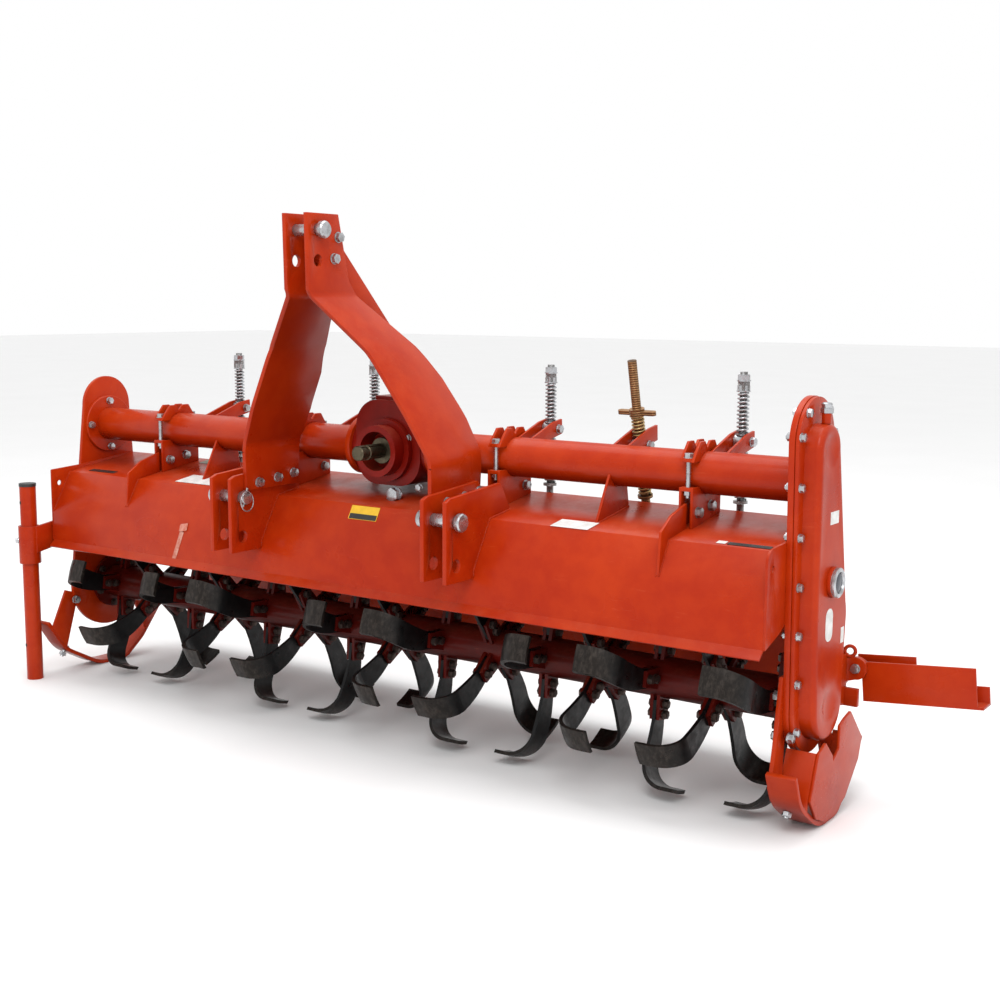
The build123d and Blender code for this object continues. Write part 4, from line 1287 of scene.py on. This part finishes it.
@dataclass
class Gearbox(Machine):
    """Centre gearbox: face bolts, drain plug and the splined input shaft."""

    front_y: float = -62.0
    boss_y: float = -76.0
    face_spots: tuple[tuple[float, float], ...] = ((62.0, 735.0), (95.0, 622.0), (-62.0, 735.0))
    plug_spot: tuple[float, float] = (36.0, 603.0)
    shaft_r: float = 17.5
    collar_r: float = 30.0
    collar_len: float = 24.0
    spline_depth: float = 2.2
    splines: int = 6
    sides: int = 36

    def build(self) -> None:
        """Fit the gearbox's trim."""
        seats = self.places.row(*((x, self.front_y, z) for x, z in self.face_spots))
        self.screw("gearbox_face_bolts", Fastener(15.0, 7.0), seats, Facing.FRONT)
        x, z = self.plug_spot
        seats = self.places.row((x, self.boss_y, z))
        self.screw("gearbox_drain_plug", Fastener(30.0, 14.0, 4.0), seats, Facing.FRONT)
        self.shaft()

    def shaft(self) -> None:
        """Cut the input shaft's splines and groove."""
        low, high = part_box("input_shaft")
        length = (high.y - low.y) / MM
        r, shoulder = self.shaft_r, length - self.collar_len
        bar = Bench.turned(((r - 2.4, 0), (r, 2.4), (r, 22), (r - 2.0, 23.5), (r - 2.0, 29), (r, 30.5),
                            (r, shoulder), (self.collar_r, shoulder), (self.collar_r, length)), self.sides)

        def between_splines(c: Vector, n: Vector) -> bool:
            """Tell whether a face lies in one of the spline gaps.

            Args:
                c: Middle of the face.
                n: Its normal.

            Returns:
                Whether it does.
            """
            half_turns = (math.atan2(c.y, c.x) + math.pi) / (2 * math.pi / self.splines) * 2
            on_bar = math.hypot(c.x, c.y) > (r - 1.2) * MM and c.z < (shoulder - 2.0) * MM
            return on_bar and int(half_turns) % 2 == 0 and abs(n.z) < 0.5

        Bench.pick(bar, between_splines)
        bpy.ops.mesh.extrude_region_shrink_fatten(
            TRANSFORM_OT_shrink_fatten={"value": -self.spline_depth * MM})
        Bench.done()
        tip = Vector(((low.x + high.x) / 2, low.y, (low.z + high.z) / 2))
        bar.data.transform(Bench.stand(tip, Vector((0, 1, 0))))
        bar.name = "splined_input_shaft"
        Bench.smooth(bar, 30)
        self.fit(bar, self.finishes.oiled, "oiled_steel", "input", ("input_shaft",))


@dataclass
class Rotor(Machine):
    """Bolts that hold the tines between their holders, and the bolts of the rotor's ends."""

    stations: int = 15
    pitch: float = 142.0
    shift: float = -2.0
    axis_y: float = -5.0
    axis_z: float = 258.0
    first: float = 81.0
    step: float = 45.0
    half: float = 12.0
    arms: int = 4
    radii: tuple[float, float] = (58.0, 80.0)
    end_r: float = 62.0
    end_turn: float = 20.0
    bearing_x: float = -1089.0
    bearing_r: float = 60.0

    def build(self) -> None:
        """Fit the tine bolts, the bolts of the rotor's end flanges and those of the bearing."""
        bolt = Fastener(17.0, 8.0, 2.0)
        for name, side, facing in SIDES:
            spots = []
            for i in range(self.stations):
                x = (i - (self.stations - 1) / 2) * self.pitch + self.shift + side * self.half
                for k in range(self.arms):
                    a = math.radians(self.first + i * self.step + 360.0 / self.arms * k)
                    spots += [(x, self.axis_y + r * math.sin(a), self.axis_z - r * math.cos(a))
                              for r in self.radii]
            seats = self.places.row(*spots)
            self.screw(f"tine_bolts_{name}", bolt, seats, facing, self.finishes.dull, "rotor")
        end_bolt = Fastener(15.0, 7.0)
        for name, x, facing in (("left", -1047.0, Facing.RIGHT), ("right", 1005.0, Facing.LEFT)):
            angles = [60 * i + self.end_turn for i in range(6)]
            seats = self.places.ring((x, self.axis_y, self.axis_z), self.end_r, angles)
            self.screw(f"rotor_end_bolts_{name}", end_bolt, seats, facing, self.finishes.dull, "rotor")
        centre = (self.bearing_x, self.axis_y, self.axis_z)
        seats = self.places.ring(centre, self.bearing_r, [60 * i for i in range(6)])
        self.screw("bearing_bolts", end_bolt, seats, Facing.LEFT)


@dataclass
class SkidsAndStands(Machine):
    """Bolts of the skids, the pins of the stands, and dark discs painted on the stand as the shade in its pin
    holes.
    """

    left_spots: tuple[tuple[float, float], ...] = ((-134.0, 222.0), (92.0, 205.0))
    runner_tilt: Place = (0.0, 0.56, 0.83)
    pin_z: float = 401.0
    pin_reach: float = 28.2
    pin_way: Place = (-0.55, -0.83, 0.0)
    hole_r: float = 5.0
    hole_heights: tuple[float, float] = (504.0, 111.0)
    tube_r: float = 21.5
    hook_r: float = 11.0
    hook_wire: float = 4.0

    def build(self) -> None:
        """Fit the bolts, the pins, and the dark discs that paint the shade in the pin holes."""
        inner, outer = ([(x, y, z) for y, z in self.left_spots] for x in (-1065.0, -1083.0))
        head = Fastener(18.0, 9.0, 2.4)
        strap, behind = [(1041.0, -104.0, 209.0)], [(1021.0, -104.0, 209.0), (1021.0, -104.0, 290.0)]
        for name, spots, facing in (("skid_bolts_left", inner, Facing.RIGHT),
                                    ("skid_bolts_left_outer", outer, Facing.LEFT),
                                    ("skid_bolts_right", strap, Facing.RIGHT),
                                    ("skid_bolts_right_inner", behind, Facing.LEFT)):
            self.screw(name, head, self.places.row(*spots), facing)
        runner = Fastener(17.0, 8.0, 2.0, grip=10.0, tail=4.0)
        for name, spot in (("left", (-1098.0, -150.0, 79.0)), ("right", (1050.0, -112.0, 71.0))):
            self.screw(f"runner_bolt_{name}", runner, self.places.row(spot), Vector(self.runner_tilt))
        self.front_stand()
        seats = self.places.row((1060.0, 197.0, 286.0))
        self.screw("rear_leg_pivot_bolt", Fastener(17.0, 7.0, 2.0), seats, Facing.FRONT)
        where = Bench.stand(self.places.at(1046.0, 199.0, 322.0), Vector((0.3, -1, 0)))
        hook = Bench.hoop(self.hook_r, self.hook_wire)
        self.place("rear_leg_hook", hook, where, self.finishes.orange, "orange_paint", 60)

    def front_stand(self) -> None:
        """Fit the front stand's lock pin, and dark discs on its tube as painted shade in its pin holes."""
        low, high = self.places.span("stand_leg")
        mid = (low + high) / 2
        front = Vector(self.pin_way)
        spot = self.places.at(mid.x, mid.y, self.pin_z) + front * self.pin_reach * MM
        self.screw("stand_lock_pin", Fastener(13.0, 6.0, 2.0), [spot], front)
        way = Vector((-0.3, -0.95, 0.0)).normalized()
        # Thin dark discs on the tube's face: painted shade standing in for the open pin holes.
        hole = Bench.round_bar(self.hole_r, 0.5, 20, -0.3)
        places = [Bench.stand(self.places.at(mid.x, mid.y, z) + way * self.tube_r * MM, way)
                  for z in self.hole_heights]
        holes = Bench.spread("stand_pin_hole_shade", hole, places)
        self.fit(holes, self.finishes.hole_shade, "black_plastic", "stand")


@dataclass
class HoodTrim(Machine):
    """Stickers, tape and weld beads of the hood."""

    top_tilt: Place = (0, -0.1588, 0.9873)
    slope_tilt: Place = (0, -0.866, 0.5)
    front_tilt: Place = (0, -1, 0)
    gusset_x: float = 785.0
    hitch_x: float = 314.5
    plate_edges: tuple[float, ...] = (-35.4, -24.6, 24.6, 35.4)
    brace_x: float = 590.0
    bead_gap: float = 3.4
    end_plates: tuple[float, float] = (-1059.0, 1023.4)

    def build(self) -> None:
        """Stick the labels and lay the beads."""
        f, top, slope, dark = self.finishes, self.top_tilt, self.slope_tilt, "black_plastic"
        for name, finish, slot, spot, tilt, wide, high, lift in (
                ("hood_label_left", f.white, "", (-588.0, -97.0, 589.4), top, 132.0, 66.0, 0.4),
                ("hood_label_middle", f.white, "", (552.0, -117.0, 586.2), top, 92.0, 50.0, 0.4),
                ("hood_strip_right", f.black, dark, (957.0, -126.0, 584.8), top, 92.0, 15.0, 0.4),
                ("hood_strip_right_end", f.white, "", (897.0, -124.0, 585.1), top, 20.0, 15.0, 0.4),
                ("hood_strip_left", f.black, dark, (-955.0, -112.0, 587.0), top, 100.0, 18.0, 0.4),
                ("hood_label_rear", f.olive, "", (-700.0, 60.0, 614.3), top, 84.0, 48.0, 0.4),
                ("warning_label", f.yellow, "", (1.5, -150.5, 563.8), slope, 84.0, 34.0, 0.4),
                ("warning_label_band", f.black, dark, (2.0, -155.5, 555.6), slope, 80.0, 13.0, 0.9)):
            label = Bench.slab(wide, high, 0.4, 1.0)
            self.place(name, label, self.lie(spot, tilt, lift), finish, slot, 0)
        self.tape()
        self.beads()

    def lie(self, spot: Place, tilt: Place, lift: float = 0.4) -> Matrix:
        """Place something flat on the sheet.

        Args:
            spot: Its middle in millimetres.
            tilt: Direction that the sheet faces.
            lift: Height over the sheet in millimetres.

        Returns:
            The placing matrix.
        """
        way = Vector(tilt)
        turn = Matrix.Rotation(math.asin(min(1.0, -way.y / way.length)), 4, "X")
        return Matrix.Translation(self.places.at(*spot) + way * lift * MM) @ turn

    def tape(self) -> None:
        """Stick the clear tape over the fold."""
        strips = []
        for spot, tilt, wide, high, lean in (
                ((-551.0, -198.2, 483.0), self.slope_tilt, 26.0, 20.0, 0.2),
                ((-573.0, -200.0, 432.0), self.front_tilt, 13.0, 92.0, -0.42)):
            strip = Bench.slab(wide, high, 0.4, 3.0)
            strip.data.transform(self.lie(spot, tilt) @ Matrix.Rotation(lean, 4, "Z"))
            strips.append(strip)
        self.fit(Bench.merge("clear_tape", strips), self.finishes.film, "")

    def beads(self) -> None:
        """Lay the weld beads of the gussets, hitch plates, braces and end plates."""
        lines = []
        for x in (-self.gusset_x, self.gusset_x):
            for edge in (-self.bead_gap, self.bead_gap):
                lines.append(((x + edge, -180.0, 513.5), (x + edge, -141.0, 581.5), 4.2))
        for side in (-1, 1):
            for edge in self.plate_edges:
                x = side * self.hitch_x + edge
                corners = ((x, -201.0, 466.0), (x, -201.0, 478.0), (x, -141.0, 582.5))
                lines += [(*pair, 4.6) for pair in zip(corners, corners[1:])]
                lines.append(((x, -140.0, 583.0), (x, -66.0, 594.5), 4.6))
            x = side * self.brace_x + self.bead_gap
            lines.append(((x, -90.0, 590.6), (x, 38.0, 611.2), 4.6))
        for x in self.end_plates:
            lines.append(((x, -199.0, 478.0), (x, -141.0, 581.0), 4.4))
        at = self.places.at
        beads = [Bench.bead(at(*start), at(*end), size) for start, end, size in lines]
        piece = Bench.merge("weld_beads", beads)
        Bench.smooth(piece, 60)
        self.fit(piece, self.finishes.orange, "orange_paint")


def main() -> None:
    """Build the looks in order."""
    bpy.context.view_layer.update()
    places = MachineFrame()
    f = Finishes(places)
    machine = Machine(places, f)
    machine.dress(f.orange, *frame["nodes"])
    machine.dress(f.zinc, "lower_hitch_pin_left", "lower_hitch_pin_right", "top_link_pin", "rod_swivels",
                  "mast_spacers", "trailing_board_hinge", "lift_rod_swivel", edge=0.0)
    machine.dress(f.thread, "spring_rods", edge=0.0)
    machine.dress(f.bronze, "lift_rod", "lift_rod_springs", edge=0.0)
    machine.dress(f.oiled, "input_shaft", edge=0.0)
    machine.dress(f.tine, "tines_left_hand", "tines_right_hand", edge=0.0)
    machine.dress(f.shade, "rotor_shaft", edge=0.0)
    # The gearbox and the left bearing take the darker copy of the orange: painted shade.
    machine.dress(f.red, "gearbox_housing", "gearbox_front_boss", "rotor_bearing_left", edge=0.0)
    machine.dress(f.cap, "stand_cap", edge=0.0)
    for assembly in (SpringSet, SideDrive, TubeMounts, Hitch, Gearbox, Rotor, SkidsAndStands, HoodTrim):
        assembly(places, f).build()
    studio = Studio(centre=places.at(0, 0, 0))
    studio.floor()
    studio.lights()
    studio.camera(places)


if __name__ == "__main__":
    main()
